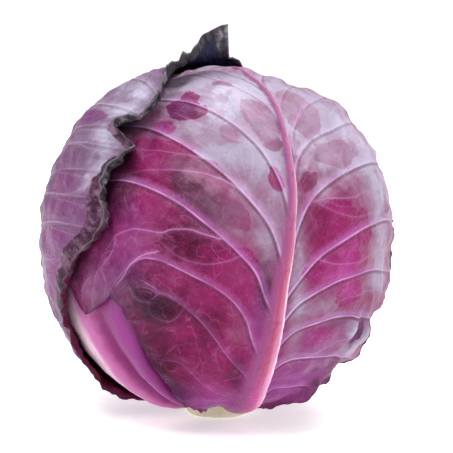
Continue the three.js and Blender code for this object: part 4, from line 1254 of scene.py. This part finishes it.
# How much each side rib of the front leaf stands out, by station and side.
FRONT_SHOWS = {
    (2, "left"): 0.2, (3, "left"): 0.3, (4, "left"): 0.65, (6, "left"): 0.95, (8, "left"): 1.0,
    (9, "left"): 0.9, (11, "left"): 0.4,
    (2, "right"): 0.8, (3, "right"): 1.0, (4, "right"): 1.1, (5, "right"): 1.1, (6, "right"): 1.1,
    (8, "right"): 0.85, (9, "right"): 0.6, (10, "right"): 0.4, (11, "right"): 0.4,
}


def front_veins(leaf, veins):
    station_veins(leaf, veins, FRONT_SHOWS, half=(0.46, 0.18), height=(0.35, 0.15))
    twig_veins(veins, FRONT_TWIGS, (0.36, 0.13), (0.3, 0.1))


def outer_veins(leaf, veins):
    station_veins(leaf, veins, {}, half=(0.5, 0.2), height=(0.4, 0.15), forks=((0.32, 0.42), (0.6, -0.4)))
    twig_veins(veins, OUTER_TWIGS, (0.42, 0.16), (0.35, 0.1))


def back_veins(leaf, veins):
    station_veins(leaf, veins, {}, half=(0.65, 0.25), height=(0.6, 0.25),
                  forks=((0.3, 0.4), (0.5, -0.4), (0.65, 0.36)))


# Soft spots of each tone: centre x and y and half sizes in chart degrees, turn in degrees, strength.
FRONT_BLOOM = [
    (-8, 66, 48, 22, 0, 0.95), (-14, 37, 13, 11, -10, 0.75), (-4, 28, 7, 16, 10, 0.5),
    (-5, 10, 4.5, 12, 0, 0.5), (-14, 13, 7, 6, -20, 0.6), (-21, 30, 7, 4, -20, 0.4),
    (-28, 42, 6, 5, 0, 0.3), (-17, 52, 5, 5, 0, 0.3), (-12, 22, 4, 3, 0, 0.3), (-7, 4, 4, 6, 0, 0.3),
    (-14, -4, 4, 3, 0, 0.2), (29, -25, 5, 3, 0, 0.3), (24, 46, 26, 16, 0, 0.85), (46, 24, 12, 18, 0, 0.75),
    (22, 30, 15, 8, 0, 0.65), (4, -2, 3.5, 30, 4, 0.65), (14, -14, 5, 4, 10, 0.4), (24, -15, 8, 4, 0, 0.3),
    (43, -4, 9, 20, 5, 0.75), (50, -22, 5, 6, 0, -0.3), (14, -24, 8, 2.5, 8, 0.3),
    (34, -34, 7, 12, -25, 0.65), (10, -15, 7, 4, 0, 0.3), (-48, -14, 9, 8, 0, 0.12),
    (-60, -14, 6, 10, 0, 0.3), (28, -12, 14, 3, 10, 0.25), (16, -32, 10, 4, 5, 0.25),
    (-28, -36, 13, 17, 0, -0.3), (-22, 13, 6, 4, 0, -0.25), (-14, -4, 4, 4, 0, 0.35),
    (14, 20, 5, 4, 0, 0.3), (41, -9, 5, 6, 0, 0.25), (30, -27, 5, 3, 0, 0.25), (2, 50, 4, 4, 0, -0.4),
    (-42, 8, 6, 5, 0, 0.1), (20, -37, 8, 1.6, 15, 0.35), (18, -29, 9, 1.6, 8, 0.3),
    (20, -20, 9, 1.8, 5, 0.35), (-48, 45, 4, 4, 0, 0.25), (-11, 39, 4, 4, 0, -0.4), (-6, 12, 3, 4, 0, -0.3),
    (-13, -22, 4, 5, 0, 0.2), (15, -24, 5, 3, 5, -0.35), (47, -21, 4, 4, 0, -0.25),
    (31, -25, 2, 5, -17, 0.4), (38, -31, 2, 5, -25, 0.4),
]
# Whiter bloom: partly its own colour, partly a painted highlight, as on the ridges beside the pocket.
FRONT_WHITE_AND_HIGHLIGHT = [
    (-11, 54, 9, 10, 0, 0.9), (0, 62, 14, 8, 0, 0.6), (-16, 44, 6, 5, 0, 0.3), (9, 38, 4, 18, 8, 0.6),
    (5, -8, 3, 26, 4, 0.35), (6, 29, 4, 6, 0, 0.3), (60, 30, 8, 14, 0, 0.4), (30, -25, 6, 3, 0, 0.3),
    (42, 45, 13, 12, 0, 0.9), (48, 22, 8, 14, 0, 0.5), (7, 14, 2.5, 10, 0, 0.35), (44, 0, 8, 12, 0, 0.15),
    (30, -21, 5, 3, 20, 0.5), (34, -36, 6, 9, -25, 0.7), (-3, 31, 3, 6, 20, 0.4), (-60, -14, 4, 8, 0, 0.3),
    (15, 20, 5, 4, 0, 0.6), (26, 21, 6, 4, 0, 0.4), (-12, 39, 5, 4, 0, -0.4), (31, -25, 1.5, 5, -17, 0.8),
    (38, -31, 1.5, 5, -25, 0.8), (24, -35, 6, 1.5, 20, 0.6), (31, 14, 1.2, 4, 5, 0.8),
]
# Deep to bright flesh. Some spots below zero are painted shade: beside the outer leaf's margin, under the
# torn flap low on the left, and left of the midrib.
FRONT_WARM_AND_SHADE = [
    (-40, 34, 8, 6, -5, 0.2), (-38, 21, 7, 6, 0, 0.3), (-42, 8, 9, 6, 0, 0.1), (-24, 5, 9, 5, -15, -0.15),
    (-49, 26, 6, 14, 0, -0.45), (-29, 24, 8, 7, 0, -0.4), (-31, 6, 8, 6, 0, -0.25),
    (-37, -14, 6, 5, 0, -0.5), (-22, -15, 6, 6, 0, -0.4), (-31, -30, 9, 13, 0, -0.4),
    (-48, -6, 12, 7, 0, -0.35), (-13, -22, 5, 8, 0, 0.1), (9.5, 23, 4, 3, 0, -0.15),
    (14, 11, 5, 4, 0, -0.1), (26, 8, 9, 8, 0, 0.15), (-6, -8, 2.5, 9, 0, -0.5), (-30, -50, 8, 6, 0, -0.5),
    (-40, -40, 5, 6, 0, -0.35), (-18, -46, 4, 5, 0, 0.3), (19, -3, 13, 6, 0, 0.3), (24, -12, 7, 5, 0, 0.3),
    (-3, -34, 4, 16, 0, 0.35), (-16, -58, 10, 12, 0, 0.4), (-11, -38, 3, 10, 0, -0.3),
    (-26, 53, 6, 5, 0, -0.6), (-22, 17, 6, 5, 0, -0.2), (-13, -8, 6, 6, 0, 0.15), (-22, -13, 5, 5, 0, 0.3),
    (-30, -23, 5, 5, 0, 0.35), (-29, -34, 5, 6, 0, 0.2), (15, -24, 6, 3, 5, 0.3), (22, -22, 9, 3, 8, -0.3),
    (20, -43, 8, 4, 15, -0.25),
]
FRONT_VIOLET = [
    (-15, -60, 12, 12, 0, 0.75), (-46, 14, 8, 8, 0, 0.2), (-48, 2, 8, 9, 0, 0.3),
    (12, -47, 14, 14, 0, 0.75), (-2, -40, 5, 16, 0, 0.4), (20, -28, 14, 8, 0, 0.35),
    (-58, -12, 8, 10, 0, 0.4), (-7, -16, 3, 12, 0, 0.4), (34, -28, 4, 6, -17, 0.9),
    (28, -43, 3, 5, -26, 0.5), (-34, 45, 5, 4, 0, 0.3), (-29, -50, 8, 6, 0, 0.2), (-26, 53, 6, 5, 0, 0.3),
]
FRONT_DUSK = [
    (-21, 16, 8, 6, -20, 1.0), (-11, 13, 5, 5, -30, 0.3), (-22, 12, 5, 4, 0, 0.5),
    (-30, 31, 5, 2.5, -6, 0.6), (-44, -15, 8, 6, 0, 0.4), (20, 50, 8, 14, 0, 0.4), (25, 33, 12, 5, 5, 0.35),
    (-13, 34, 9, 8, 0, 0.3), (-38, -23, 4, 5, 0, 0.3),
]
FRONT_ROSE = [
    (-19, 22.5, 9, 2.2, -22, 0.35), (-19, 51, 4, 3, 0, 0.3), (-2, 43, 5, 9, 0, 0.2),
    (24, 34, 11, 4, 5, 0.2), (20, 50, 8, 12, 0, 0.2), (-26, 28, 7, 2.5, -15, 0.2), (44, -2, 6, 14, 0, 0.3),
]
# Painted shade and shadow: where the front leaf goes under the outer leaf's margin and crest, and in its own
# folds and grooves.
FRONT_SHADE = [
    (-30, 71, 7, 4, 0, 0.6), (-20, 76, 8, 4, 0, 0.7), (-8, 76, 8, 4, 0, 0.5), (-46, 52, 5, 6, 0, 0.45),
    (-49, 44, 4, 4, 0, 0.1), (-48, 36, 6, 5, 0, 0.6), (-54, 30, 5, 5, 0, 0.8), (-57, 23, 5, 5, 0, 0.8),
    (-59, 16, 5, 5, 0, 0.7), (-61, 9, 5, 5, 0, 0.7), (-65, 1, 5, 5, 0, 0.7), (-70, -6, 5, 6, 0, 0.7),
    (-25, 71, 8, 5, 0, 0.8), (-39, -15, 5, 3.5, 0, 0.6), (-50, -14, 8, 7, 0, 0.2),
    (-44, -10, 2, 4, 30, 0.4), (-58, -20, 7, 7, 0, 0.3), (-38, -24, 4, 9, -10, 0.3),
    (-28, -50, 9, 6, 0, 0.25), (-43, -36, 5, 9, 0, 0.25), (-6, -9, 2, 9, 0, 0.25),
    (34.5, -28, 3.0, 5.2, -17, 0.85), (29, -43, 2.0, 4, -26, 0.85), (22, -48, 3, 2, 20, 0.4),
    (-38, 43, 4, 4, 0, 0.3), (24, -33, 5, 1.2, 0, 0.35), (20, -40, 6, 1.2, 10, 0.35),
    (27, -47, 7, 1.6, 25, 0.5), (18, -52, 6, 1.6, 15, 0.4), (-41, -19, 4, 1.5, 15, 0.35),
]
# Patches rubbed bare of bloom: the same numbers, the last being how bare.
FRONT_RUBBED = [
    (-26, 53, 6.5, 5.5, 0, 1.0), (-21, 52, 3, 3, 0, 0.85), (-23, 58, 3.5, 3, 0, 0.9),
    (-34, 45, 4, 3.5, -10, 0.8), (-38, 34, 14, 7, -5, 0.9), (-22, 29, 7, 2.5, -15, 0.6),
    (-3, 49, 4.5, 5, 0, 0.4), (0, 42, 4.5, 6, 10, 0.4), (1, 36, 4, 2, 0, 0.65), (-8, 65, 4, 2.5, 0, 0.55),
    (-13, 40, 3, 4, 0, 0.3), (-1, 24, 2, 4, 0, 0.85), (-15, 15, 7, 3.6, -38, 0.6), (16, 50, 8, 12, 0, 0.5),
    (25, 33, 11, 5, 4, 0.45), (9.5, 23, 4, 3, 30, 0.7), (20, 10, 9, 7.5, 0, 1.0), (31, 8, 5, 6, 0, 0.8),
    (13, 4, 2.8, 2.8, 0, 0.95), (20, -4, 12, 4.5, 5, 0.95), (25, -12, 6, 4, 5, 0.9),
    (-25, 5, 8, 4, -20, 0.9), (-16, -4, 9, 9, 0, 0.9), (34, -28, 2.8, 5, -17, 1.0),
    (28, -43, 2, 4, -26, 0.9),
]
# Low folds of the blade: the last number is their height in mm.
FRONT_FOLDS = [
    (38.5, 8, 1.6, 8, 8, 0.9), (42, -7, 1.8, 8, -5, 1.2), (37, -17, 1.8, 7, 12, 1.0),
    (30.5, -25, 1.4, 5, -17, 2.6), (38.5, -30, 1.6, 6, -30, 2.6), (34.5, -28, 2.0, 4, -17, -1.0),
    (31, -36, 1.6, 5, -50, 1.4), (26, -42, 1.4, 5, -30, 1.6), (-47, -20, 3, 1.2, 20, 2.0),
    (-40, -12, 5, 1.2, 35, 1.8), (-50, -10, 1.3, 6, 15, 1.0), (-35, -17, 4, 1.2, -20, 1.8),
    (-44, -9, 1.2, 4, 25, 1.4), (-27, -15, 1.3, 5, 30, 0.8), (-32, -24, 1.2, 6, 20, 0.8),
]
# What a leaf's looks are unless its own say otherwise.
PLAIN_LOOKS = {
    "margin": 0.55, "torn": 0, "calm": 0, "notches": [], "folds": [], "lowest": -0.25,
    "flange": nothing, "rose": nothing, "shade": nothing,
}
# Looks of a leaf. rows counts its points along, and columns those across half the midrib, a blade and a roll.
# margin is the thickness there in mm. torn deepens the cuts at the foot, and calm takes cuts and waves away
# at the tip. A notch is its side, station, half width in stations and depth in mm. bite has the sizes in mm
# of teeth and bites. frill, crimp, pucker and dent are heights in mm, crumple is a share of the roll, and
# lowest is the lowest that waves go. The functions give tones by a place and its distance from the margin.
FRONT_LOOKS = {
    **PLAIN_LOOKS, "rows": 281, "columns": (12, 92, 12), "seed": 11, "torn": 1.2,
    "notches": [("left", 2.5, 0.3, 3.5), ("right", 4.35, 0.07, 3.0), ("right", 3.9, 0.08, 2.5),
                ("right", 3.5, 0.06, 3.0), ("right", 2.8, 0.07, 3.0), ("right", 2.45, 0.05, 3.5),
                ("right", 1.9, 0.06, 3.5), ("right", 1.4, 0.08, 4.5), ("right", 1.05, 0.05, 4.0),
                ("right", 0.75, 0.05, 3.0), ("left", 4.4, 0.1, 2.5), ("left", 3.6, 0.08, 2.5)],
    "bite": (1.6, 1.2), "frill": 0.9, "crimp": 0.7, "pucker": 1.0, "dent": 0.7, "crumple": 0.12,
    "veins": front_veins, "folds": FRONT_FOLDS,
    "bloom": lambda xy, edge: (0.03 + spots(xy, FRONT_BLOOM) + 0.6 * smooth(50, 62, xy[..., 0])
                               + 0.5 * smooth(74, 90, xy[..., 1]) + 0.5 * smooth(-62, -84, xy[..., 0])),
    # Whiter towards the top and on the right shoulder, partly as a painted sheen.
    "white": lambda xy, edge: (spots(xy, FRONT_WHITE_AND_HIGHLIGHT) + 0.4 * smooth(70, 90, xy[..., 1])
                               + 0.5 * smooth(48, 58, xy[..., 0]) * smooth(-10, 20, xy[..., 1])),
    "warm": lambda xy, edge: 0.45 + spots(xy, FRONT_WARM_AND_SHADE),
    "shade": lambda xy, edge: np.clip(spots(xy, FRONT_SHADE), 0, 0.85),
    "dusk": lambda xy, edge: spots(xy, FRONT_DUSK),
    "rose": lambda xy, edge: spots(xy, FRONT_ROSE),
    "violet": lambda xy, edge: spots(xy, FRONT_VIOLET),
    "rubbed": FRONT_RUBBED,
}
OUTER_BLOOM = [
    (50, 62, 40, 18, 0, 0.45), (66, 38, 10, 14, 0, 0.4), (30, 45, 22, 18, 0, 0.1),
    (56, 24, 9, 12, 0, -0.15),
]
OUTER_WHITE = [
    (47, 66, 10, 5, -20, 0.65), (53, 56, 8, 5, 0, 0.75), (58, 45, 7, 5, 0, 0.8), (67, 34, 5, 7, 0, 0.9),
    (66, 26, 3, 5, 0, 0.4), (62, 12, 3, 8, 0, 0.3), (30, 62, 14, 5, 10, 0.4), (36, 53, 10, 4, 0, 0.3),
    (-20, 60, 16, 8, 0, 0.5), (-50, 30, 12, 14, 0, 0.4),
]
OUTER_RUBBED = [
    (41, 47, 9, 4, 25, 0.75), (36, 38, 8, 5, 0, 0.6), (50, 25, 10, 5.5, 0, 0.85), (52, 16, 11, 4, 0, 0.9),
    (54, 6, 10, 5, 0, 0.85), (57, -6, 9, 5, 0, 0.85), (53, -14, 9, 6, 0, 0.9), (20, 56, 9, 4, 0, 0.5),
    (20, 20, 9, 8, 10, 0.6), (5, 40, 8, 7, 0, 0.6), (-20, 20, 12, 8, 20, 0.7), (0, -5, 12, 7, 0, 0.7),
    (-35, -10, 10, 9, 0, 0.7), (-30, 50, 9, 6, 0, 0.6),
]
# The crest starts at this height in degrees, with a pale rim of so many mm. The flange is this wide in mm.
CREST_FROM = 74
CREST_RIM = 3.0
FLANGE_WIDTH = (8.0, 14.0)


def outer_shade(xy, edge):
    """Painted shade inside the crest beyond its pale rim, and low down where the margin turns from the light.
    """
    crest = smooth(CREST_FROM, CREST_FROM + 4, xy[..., 1]) * smooth(CREST_RIM, CREST_RIM + 4, edge)
    low = smooth(-8, -30, xy[..., 1]) * smooth(10, 30, xy[..., 0])
    return 0.9 * crest + 0.45 * low


def outer_flange(xy, edge):
    """The band along the margin that is folded away from the light, painted dark partly as shade, wider low
    down: 1 in it and 0 beyond.
    """
    wide = mix(*FLANGE_WIDTH, smooth(34, 20, xy[..., 1]))
    return smooth(4, -4, edge - wide) * smooth(-35, -15, xy[..., 1]) * smooth(78, 70, xy[..., 1])


OUTER_LOOKS = {
    **PLAIN_LOOKS, "rows": 289, "columns": (10, 84, 24), "seed": 41, "torn": 0.6, "calm": 0.6,
    "flange": outer_flange,
    "bite": (1.2, 0.8), "frill": 0.9, "crimp": 0.9, "pucker": 0.8, "dent": 0.6, "crumple": 0.25,
    "veins": outer_veins,
    "bloom": lambda xy, edge: 0.42 + spots(xy, OUTER_BLOOM) - 0.4 * smooth(5, -30, xy[..., 1]),
    "white": lambda xy, edge: spots(xy, OUTER_WHITE),
    "warm": lambda xy, edge: 0.35 + 0.3 * smooth(30, -20, xy[..., 1]),
    "shade": outer_shade,
    "dusk": lambda xy, edge: 0.15 + 0 * edge,
    "violet": lambda xy, edge: 0.25 + 0.2 * smooth(20, -20, xy[..., 1]),
    "rubbed": OUTER_RUBBED,
}
BACK_LOOKS = {
    **PLAIN_LOOKS, "rows": 221, "columns": (10, 60, 4), "seed": 71, "margin": 0.6, "lowest": -0.2,
    "bite": (1.2, 0.8), "frill": 0.3, "crimp": 0.2, "pucker": 0.4, "dent": 0.2, "crumple": 0.1,
    "veins": back_veins,
    "bloom": lambda xy, edge: 0.4 + 0.25 * smooth(-20, 50, xy[..., 1]),
    "white": lambda xy, edge: 0.5 * smooth(10, 60, xy[..., 1]),
    "warm": lambda xy, edge: 0.4 + 0.2 * smooth(10, -50, xy[..., 1]),
    "dusk": lambda xy, edge: 0.2 + 0 * edge,
    "violet": lambda xy, edge: 0.3 * smooth(-30, -60, xy[..., 1]),
    "rubbed": [(-20, 10, 12, 8, 20, 0.85), (25, -20, 9, 12, 0, 0.85), (20, 35, 9, 7, 0, 0.7),
               (-30, -25, 10, 8, 0, 0.8), (5, -5, 6, 5, 0, 0.6)],
}


def dress(piece, node, material):
    piece.data.materials.append(material)
    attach(piece, "root")
    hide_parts(node)


OUTER_PALETTE = palette(
    flesh="#67305a", deep="#3a1933", bright="#824275", bloom="#7f7587", bloom_low="#644c64", wear=0.35,
    white="#b3b0c3", vein="#a67fa4", halo="#7d5f83", halo_show=0.3, dusk="#453043")
BACK_PALETTE = palette(
    flesh="#6f2f5c", deep="#421a3a", bright="#8a3f77", bloom="#958aa2", bloom_low="#7b6280")
LEAVES = [
    ("front_leaf", FRONT_LEAF, FRONT_LOOKS, palette()),
    ("outer_leaf", OUTER_LEAF, OUTER_LOOKS, OUTER_PALETTE),
    ("back_leaf", BACK_LEAF, BACK_LOOKS, BACK_PALETTE),
]


def build_leaves():
    for name, plan, looks, paints in LEAVES:
        skin = name + "_skin"
        dress(leaf_piece(skin, plan, looks), name, leaf_material(skin, paints))


# ---- the inner leaf with its swollen ribs
def inner_leaf_piece():
    """A blade on its own grid of rows and columns, with the midrib and two side ribs as round ridges."""
    stations = [dict(mid=(0, y), left=[(-1, y)], right=[(1, y)]) for y in (0, 1)]
    leaf = Leaf({**INNER_LEAF, "stations": stations})
    r = np.linspace(0, len(INNER_LEAF["ups"]) - 1, INNER_ROWS)
    c = np.linspace(0, len(INNER_LEAF["across"][0]) - 1, INNER_COLS)
    y = curve(INNER_LEAF["ups"], r)
    across = curve(INNER_LEAF["across"], r)
    ribs = curve(INNER_LEAF["ribs"], r)
    x = np.array([curve(row, c) for row in across])
    xy = np.stack([x, np.broadcast_to(y[:, None], x.shape)], -1)
    d = leaf.toward(xy)
    height = np.full(x.shape, BLADE)
    for n, column in enumerate(RIB_COLUMNS):
        off = np.clip(abs(c - column), 0, 1)[None, :]
        height = height + ribs[:, n:n + 1] * np.cos(off * 90 * DEG) ** RIB_ROUNDNESS
    middle, wide = BULGE_PLACE
    swollen = SIDE_BULGE * np.exp(-(((c[None, :] - middle) / wide) ** 2))
    for rows in BULGE_ROWS:
        swollen = swollen * smooth(*rows, r)[:, None]
    height = height + swollen
    for seed, wavelength, size in INNER_NOISES:
        height = height + Ripples(seed, wavelength)(d * SKIN_RADIUS) * size
    base = head_radius(d) + UNDER_LEVEL
    outer = d * (base + height)[..., None] + HEAD_CENTRE
    inner = d * base[..., None] + HEAD_CENTRE
    column = np.broadcast_to(c[None, :], x.shape)
    up = np.broadcast_to(r[:, None], x.shape)
    return sheet_piece("inner_leaf_skin", outer, inner,
                       {"skin": d * SKIN_RADIUS, "column": np.stack([column, up, height], -1)})


# Colour of the inner leaf's left margin, then the columns over which each next colour sets in.
INNER_EDGE = "#6d2a55"
INNER_BANDS = [
    (0.0, 0.35, "#e6c3d5"), (2.2, 3.2, "#ad5a92"), (3.2, 3.9, "#74125a"), (4.1, 4.8, "#7f2872"),
    (5.2, 5.9, "#6d1459"), (6.0, 6.7, "#943584"), (7.3, 8.2, "#7c1a56"),
]


def inner_leaf_material():
    m = Paint("inner_leaf_skin")
    skin = m.field("skin")
    column = m.field("column", 0)
    up = m.field("column", 1)
    mottle = m.noise(skin, 0.2, 5.0, 0.6)
    fine = m.noise(skin, 1.8, 4.0, 0.6)
    streak = m.noise(m.scaled(m.field("column"), 2.2, 0.35, 0.0), 1.5, 4.0, 0.6)
    place = m.add(column, m.swing(mottle, 0.5))
    base = INNER_EDGE
    for low, high, paint in INNER_BANDS:
        base = m.blend(m.step(place, low, high), base, paint)
    base = m.over(base, "#a82355", m.step(up, 5.2, 6.6), m.step(place, 6.6, 7.4), 0.7)
    base = m.over(base, "#7d3274", m.step(streak, 0.45, 0.75), 0.3)
    base = m.over(base, "#5a0d35", m.step(up, 1.4, 0.5), m.step(place, 3.4, 4.6))
    rough = m.step(mottle, 0.3, 0.7, 0.30, 0.42)
    relief = m.add(m.times(streak, 0.35), m.times(fine, 0.08))
    return m.finish(base, rough, m.bump(relief, 0.7), 0.25)


# ---- ball and stem
BALL_LEAVES = 5
BALL_STEP = 1.1
BALL_SLANT = 0.6
BALL_ROWS = 161
BALL_COLS = 240
BALL_POLE = 89.5
# Share of each leaf's way round at which it ends in a step down to the next.
BALL_EDGE = 0.96
BALL_VEIN_TURNS = 9
# Seed and wavelength of its gentle swells.
BALL_NOISE = (95, 14.0)
BALL_VEIN_HEIGHT = 0.15
BALL_SWELL = 0.12


def ball_piece():
    """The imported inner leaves: each overlaps the next in a low step round the ball."""
    el = np.linspace(-BALL_POLE, BALL_POLE, BALL_ROWS)[:, None]
    az = (np.arange(BALL_COLS) * 360 / BALL_COLS)[None, :]
    az, el = np.broadcast_arrays(az, el)
    d = direction(az, el)
    turn = (az + el * BALL_SLANT + 720) * BALL_LEAVES / 360
    part = turn - np.floor(turn)
    step = BALL_STEP * part * smooth(1.0, BALL_EDGE, part) * np.cos(el * DEG)
    skin = d * SKIN_RADIUS
    vein = np.abs(np.sin(el * BALL_VEIN_TURNS * DEG + part * 3))
    height = BALL_LEVEL - step + BALL_SWELL * Ripples(*BALL_NOISE)(skin)
    height = height + BALL_VEIN_HEIGHT * smooth(0.25, 0.0, vein)
    points = (d * (head_radius(d) + height)[..., None] + HEAD_CENTRE).reshape(-1, 3)
    faces = []
    for r in range(BALL_ROWS - 1):
        a = r * BALL_COLS
        for c in range(BALL_COLS):
            n = (c + 1) % BALL_COLS
            faces.append([a + c, a + n, a + BALL_COLS + n, a + BALL_COLS + c])
    faces.append(list(range(BALL_COLS - 1, -1, -1)))
    top = (BALL_ROWS - 1) * BALL_COLS
    faces.append(list(range(top, top + BALL_COLS)))
    return make_mesh("packed_leaves", points, faces, {
        "skin": skin.reshape(-1, 3), "part": part.ravel(), "vein": vein.ravel()})


def ball_material():
    m = Paint("packed_leaves")
    skin = m.field("skin")
    mottle = m.noise(skin, 0.15, 5.0, 0.6)
    fine = m.noise(skin, 1.4, 4.0, 0.6)
    base = m.blend(m.step(mottle, 0.3, 0.7), "#6d1f52", "#9c3a80")
    base = m.over(base, "#d9a5c9", m.step(m.field("vein", "value"), 0.12, 0.0), 0.5)
    # Painted shade at the foot of each step, just under the next leaf's edge.
    base = m.blend(m.step(m.field("part", "value"), 0.9, 1.0, 0.0, 0.4), base, "#3f1233")
    rough = m.step(fine, 0.3, 0.7, 0.38, 0.5)
    return m.finish(base, rough, m.bump(m.add(m.times(mottle, 0.5), m.times(fine, 0.1)), 0.7))


# The cut stem: radius, height, points round it, and its outline as shares of the radius at each height.
STUMP_RADIUS = 16.4
STUMP_HEIGHT = 9.6
STUMP_TURNS = 168
STUMP_PROFILE = [
    (0, 0), (0.25, 0), (0.5, 0), (0.75, 0), (0.9, 0), (0.965, 0.05), (0.99, 0.35), (1, 0.9),
    (1.0, 2.2), (1.0, 4), (1.0, 6), (1.0, 8), (1.0, STUMP_HEIGHT), (0.6, STUMP_HEIGHT), (0.0, STUMP_HEIGHT),
]
# Its cut is not quite round: height, number round it and phase of each swelling.
STUMP_LOBES = [(0.35, 5, 0.6), (0.25, 3, 0)]
# Depth of the furrows down its side.
CREASE = 0.22


def stump_piece():
    """The cut stem: ribbed round the side, with a rounded lip and a flat cut face."""
    a = np.arange(STUMP_TURNS) / STUMP_TURNS * 2 * math.pi
    outline = STUMP_RADIUS
    for height, count, phase in STUMP_LOBES:
        outline = outline + height * np.sin(count * a + phase)
    crease = CREASE * np.abs(np.sin(11 * a + 0.8 * np.sin(3 * a))) ** 0.5 - CREASE
    rings = []
    for share, z in STUMP_PROFILE[1:-1]:
        r = outline * share + crease * smooth(0.8, 1, np.array(share)) * smooth(0.1, 1.5, np.array(z))
        rings.append(np.stack([r * np.cos(a), r * np.sin(a), np.full_like(a, z)], -1))
    points = np.concatenate([[[0, 0, 0]], *rings, [[0, 0, STUMP_HEIGHT]]])
    faces = []
    for c in range(STUMP_TURNS):
        n = (c + 1) % STUMP_TURNS
        faces.append([0, 1 + n, 1 + c])
        for r in range(len(rings) - 1):
            low = 1 + r * STUMP_TURNS
            faces.append([low + c, low + n, low + STUMP_TURNS + n, low + STUMP_TURNS + c])
        top = 1 + (len(rings) - 1) * STUMP_TURNS
        faces.append([top + c, top + n, len(points) - 1])
    return make_mesh("cut_stem", points, faces, {"place": points})


def stump_material():
    m = Paint("cut_stem")
    place = m.field("place")
    radius = m.distance(m.scaled(place, 1.0, 1.0, 0.0))
    grit = m.noise(place, 0.9, 5.0, 0.6)
    fibre = m.noise(m.scaled(place, 1.0, 1.0, 0.12), 1.3, 4.0, 0.6)
    base = m.blend(m.step(grit, 0.3, 0.7), "#f0ecd8", "#f8f5e6")
    ring = m.step(m.size(m.add(radius, m.times(grit, 1.6), -13.4)), 1.3, 0.2)
    base = m.over(base, "#b5a778", ring, 0.4)
    base = m.blend(m.step(radius, 14.8, 16.2, 0.0, 0.6), base, "#e6dcb8")
    base = m.over(base, "#b79f83", m.step(fibre, 0.45, 0.7), 0.2)
    rough = m.step(grit, 0.3, 0.7, 0.6, 0.8)
    return m.finish(base, rough, m.bump(m.add(m.times(grit, 0.5), m.times(fibre, 0.5)), 0.8), 0.4)


# ---- floor, light and camera
FLOOR_SIZE = 40.0
FLOOR_COLOUR = (0.93, 0.93, 0.93, 1)
FLOOR_ROUGHNESS = 0.9
FLOOR_SPECULAR = 0.1
# Glow of the floor, near the head and far off, which keeps it white as far as the horizon.
FLOOR_GLOW = (0.16, 0.8)
FAR_REACH = (0.1, 0.8)
# More glow just round the foot of the head, which lightens the contact shadow there and the head's underside.
NEAR_GLOW = 0.3
NEAR_REACH = (0.06, 0.16)
# Brightness of the studio by the sine of the elevation: white at the horizon, dimmer walls, a bright ceiling.
SKY = [(0.0, 1.05), (0.16, 1.05), (0.3, 0.4), (0.6, 0.5), (0.85, 1.5)]
# Soft round lights, all aimed at the head: place and diameter in metres, power in watts.
LIGHTS = [
    ("key", (-0.35, -0.7, 1.15), 0.45, 10),
    ("top", (0.45, 0.3, 1.2), 0.7, 10),
    ("right", (1.1, -0.5, 0.5), 0.5, 3),
]
LIGHTS_AIM = (0, 0, 0.09)
CAMERA_PLACE = (0.004, -0.62556, 0.15955)
CAMERA_TILT = 84.0
CAMERA_LENS = 100.0
SENSOR = 36.0
CLIP_START = 0.01


def floor_material():
    m = Paint("floor")
    m.put(m.shader.inputs["Base Color"], FLOOR_COLOUR)
    m.put(m.shader.inputs["Roughness"], FLOOR_ROUGHNESS)
    m.put(m.shader.inputs["Emission Color"], (1, 1, 1, 1))
    m.put(m.shader.inputs["Specular IOR Level"], FLOOR_SPECULAR)
    far = m.distance(m.node("TexCoord", {}).outputs["Object"])
    near_glow = m.step(far, *NEAR_REACH, NEAR_GLOW, 0.0)
    m.put(m.shader.inputs["Emission Strength"], m.add(near_glow, m.step(far, *FAR_REACH, *FLOOR_GLOW)))
    return m.material


def set_floor():
    mesh = bpy.data.meshes.new("floor")
    s = FLOOR_SIZE / 2
    mesh.from_pydata([(-s, -s, 0), (s, -s, 0), (s, s, 0), (-s, s, 0)], [], [(0, 1, 2, 3)])
    floor = bpy.data.objects.new("floor", mesh)
    bpy.context.scene.collection.objects.link(floor)
    floor.data.materials.append(floor_material())


def set_sky():
    world = bpy.data.worlds.new("studio")
    world.use_nodes = True
    bpy.context.scene.world = world
    nodes, links = world.node_tree.nodes, world.node_tree.links
    place = nodes.new("ShaderNodeTexCoord")
    split = nodes.new("ShaderNodeSeparateXYZ")
    links.new(place.outputs["Generated"], split.inputs[0])
    ramp = nodes.new("ShaderNodeValToRGB")
    links.new(split.outputs["Z"], ramp.inputs["Fac"])
    ramp.color_ramp.interpolation = "EASE"
    while len(ramp.color_ramp.elements) < len(SKY):
        ramp.color_ramp.elements.new(0.5)
    for element, (height, level) in zip(ramp.color_ramp.elements, SKY):
        element.position = height
        element.color = (level, level, level, 1)
    background = nodes["Background"]
    background.inputs["Strength"].default_value = 1.0
    links.new(ramp.outputs["Color"], background.inputs["Color"])


def set_lights():
    for name, place, size, power in LIGHTS:
        light = bpy.data.lights.new(name, "AREA")
        light.shape = "DISK"
        light.size = size
        light.energy = power
        lamp = bpy.data.objects.new(name, light)
        lamp.location = place
        lamp.rotation_euler = (Vector(LIGHTS_AIM) - Vector(place)).to_track_quat("-Z", "Y").to_euler()
        bpy.context.scene.collection.objects.link(lamp)


def set_camera():
    data = bpy.data.cameras.new("camera")
    data.lens = CAMERA_LENS
    data.sensor_width = SENSOR
    data.clip_start = CLIP_START
    camera = bpy.data.objects.new("camera", data)
    camera.location = CAMERA_PLACE
    camera.rotation_euler = (CAMERA_TILT * DEG, 0, 0)
    bpy.context.scene.collection.objects.link(camera)
    bpy.context.scene.camera = camera


set_camera()
set_floor()
set_sky()
set_lights()
bpy.context.scene.view_settings.view_transform = "Standard"
build_leaves()
dress(inner_leaf_piece(), "inner_leaf", inner_leaf_material())
dress(ball_piece(), "ball_of_inner_leaves", ball_material())
dress(stump_piece(), "stump", stump_material())
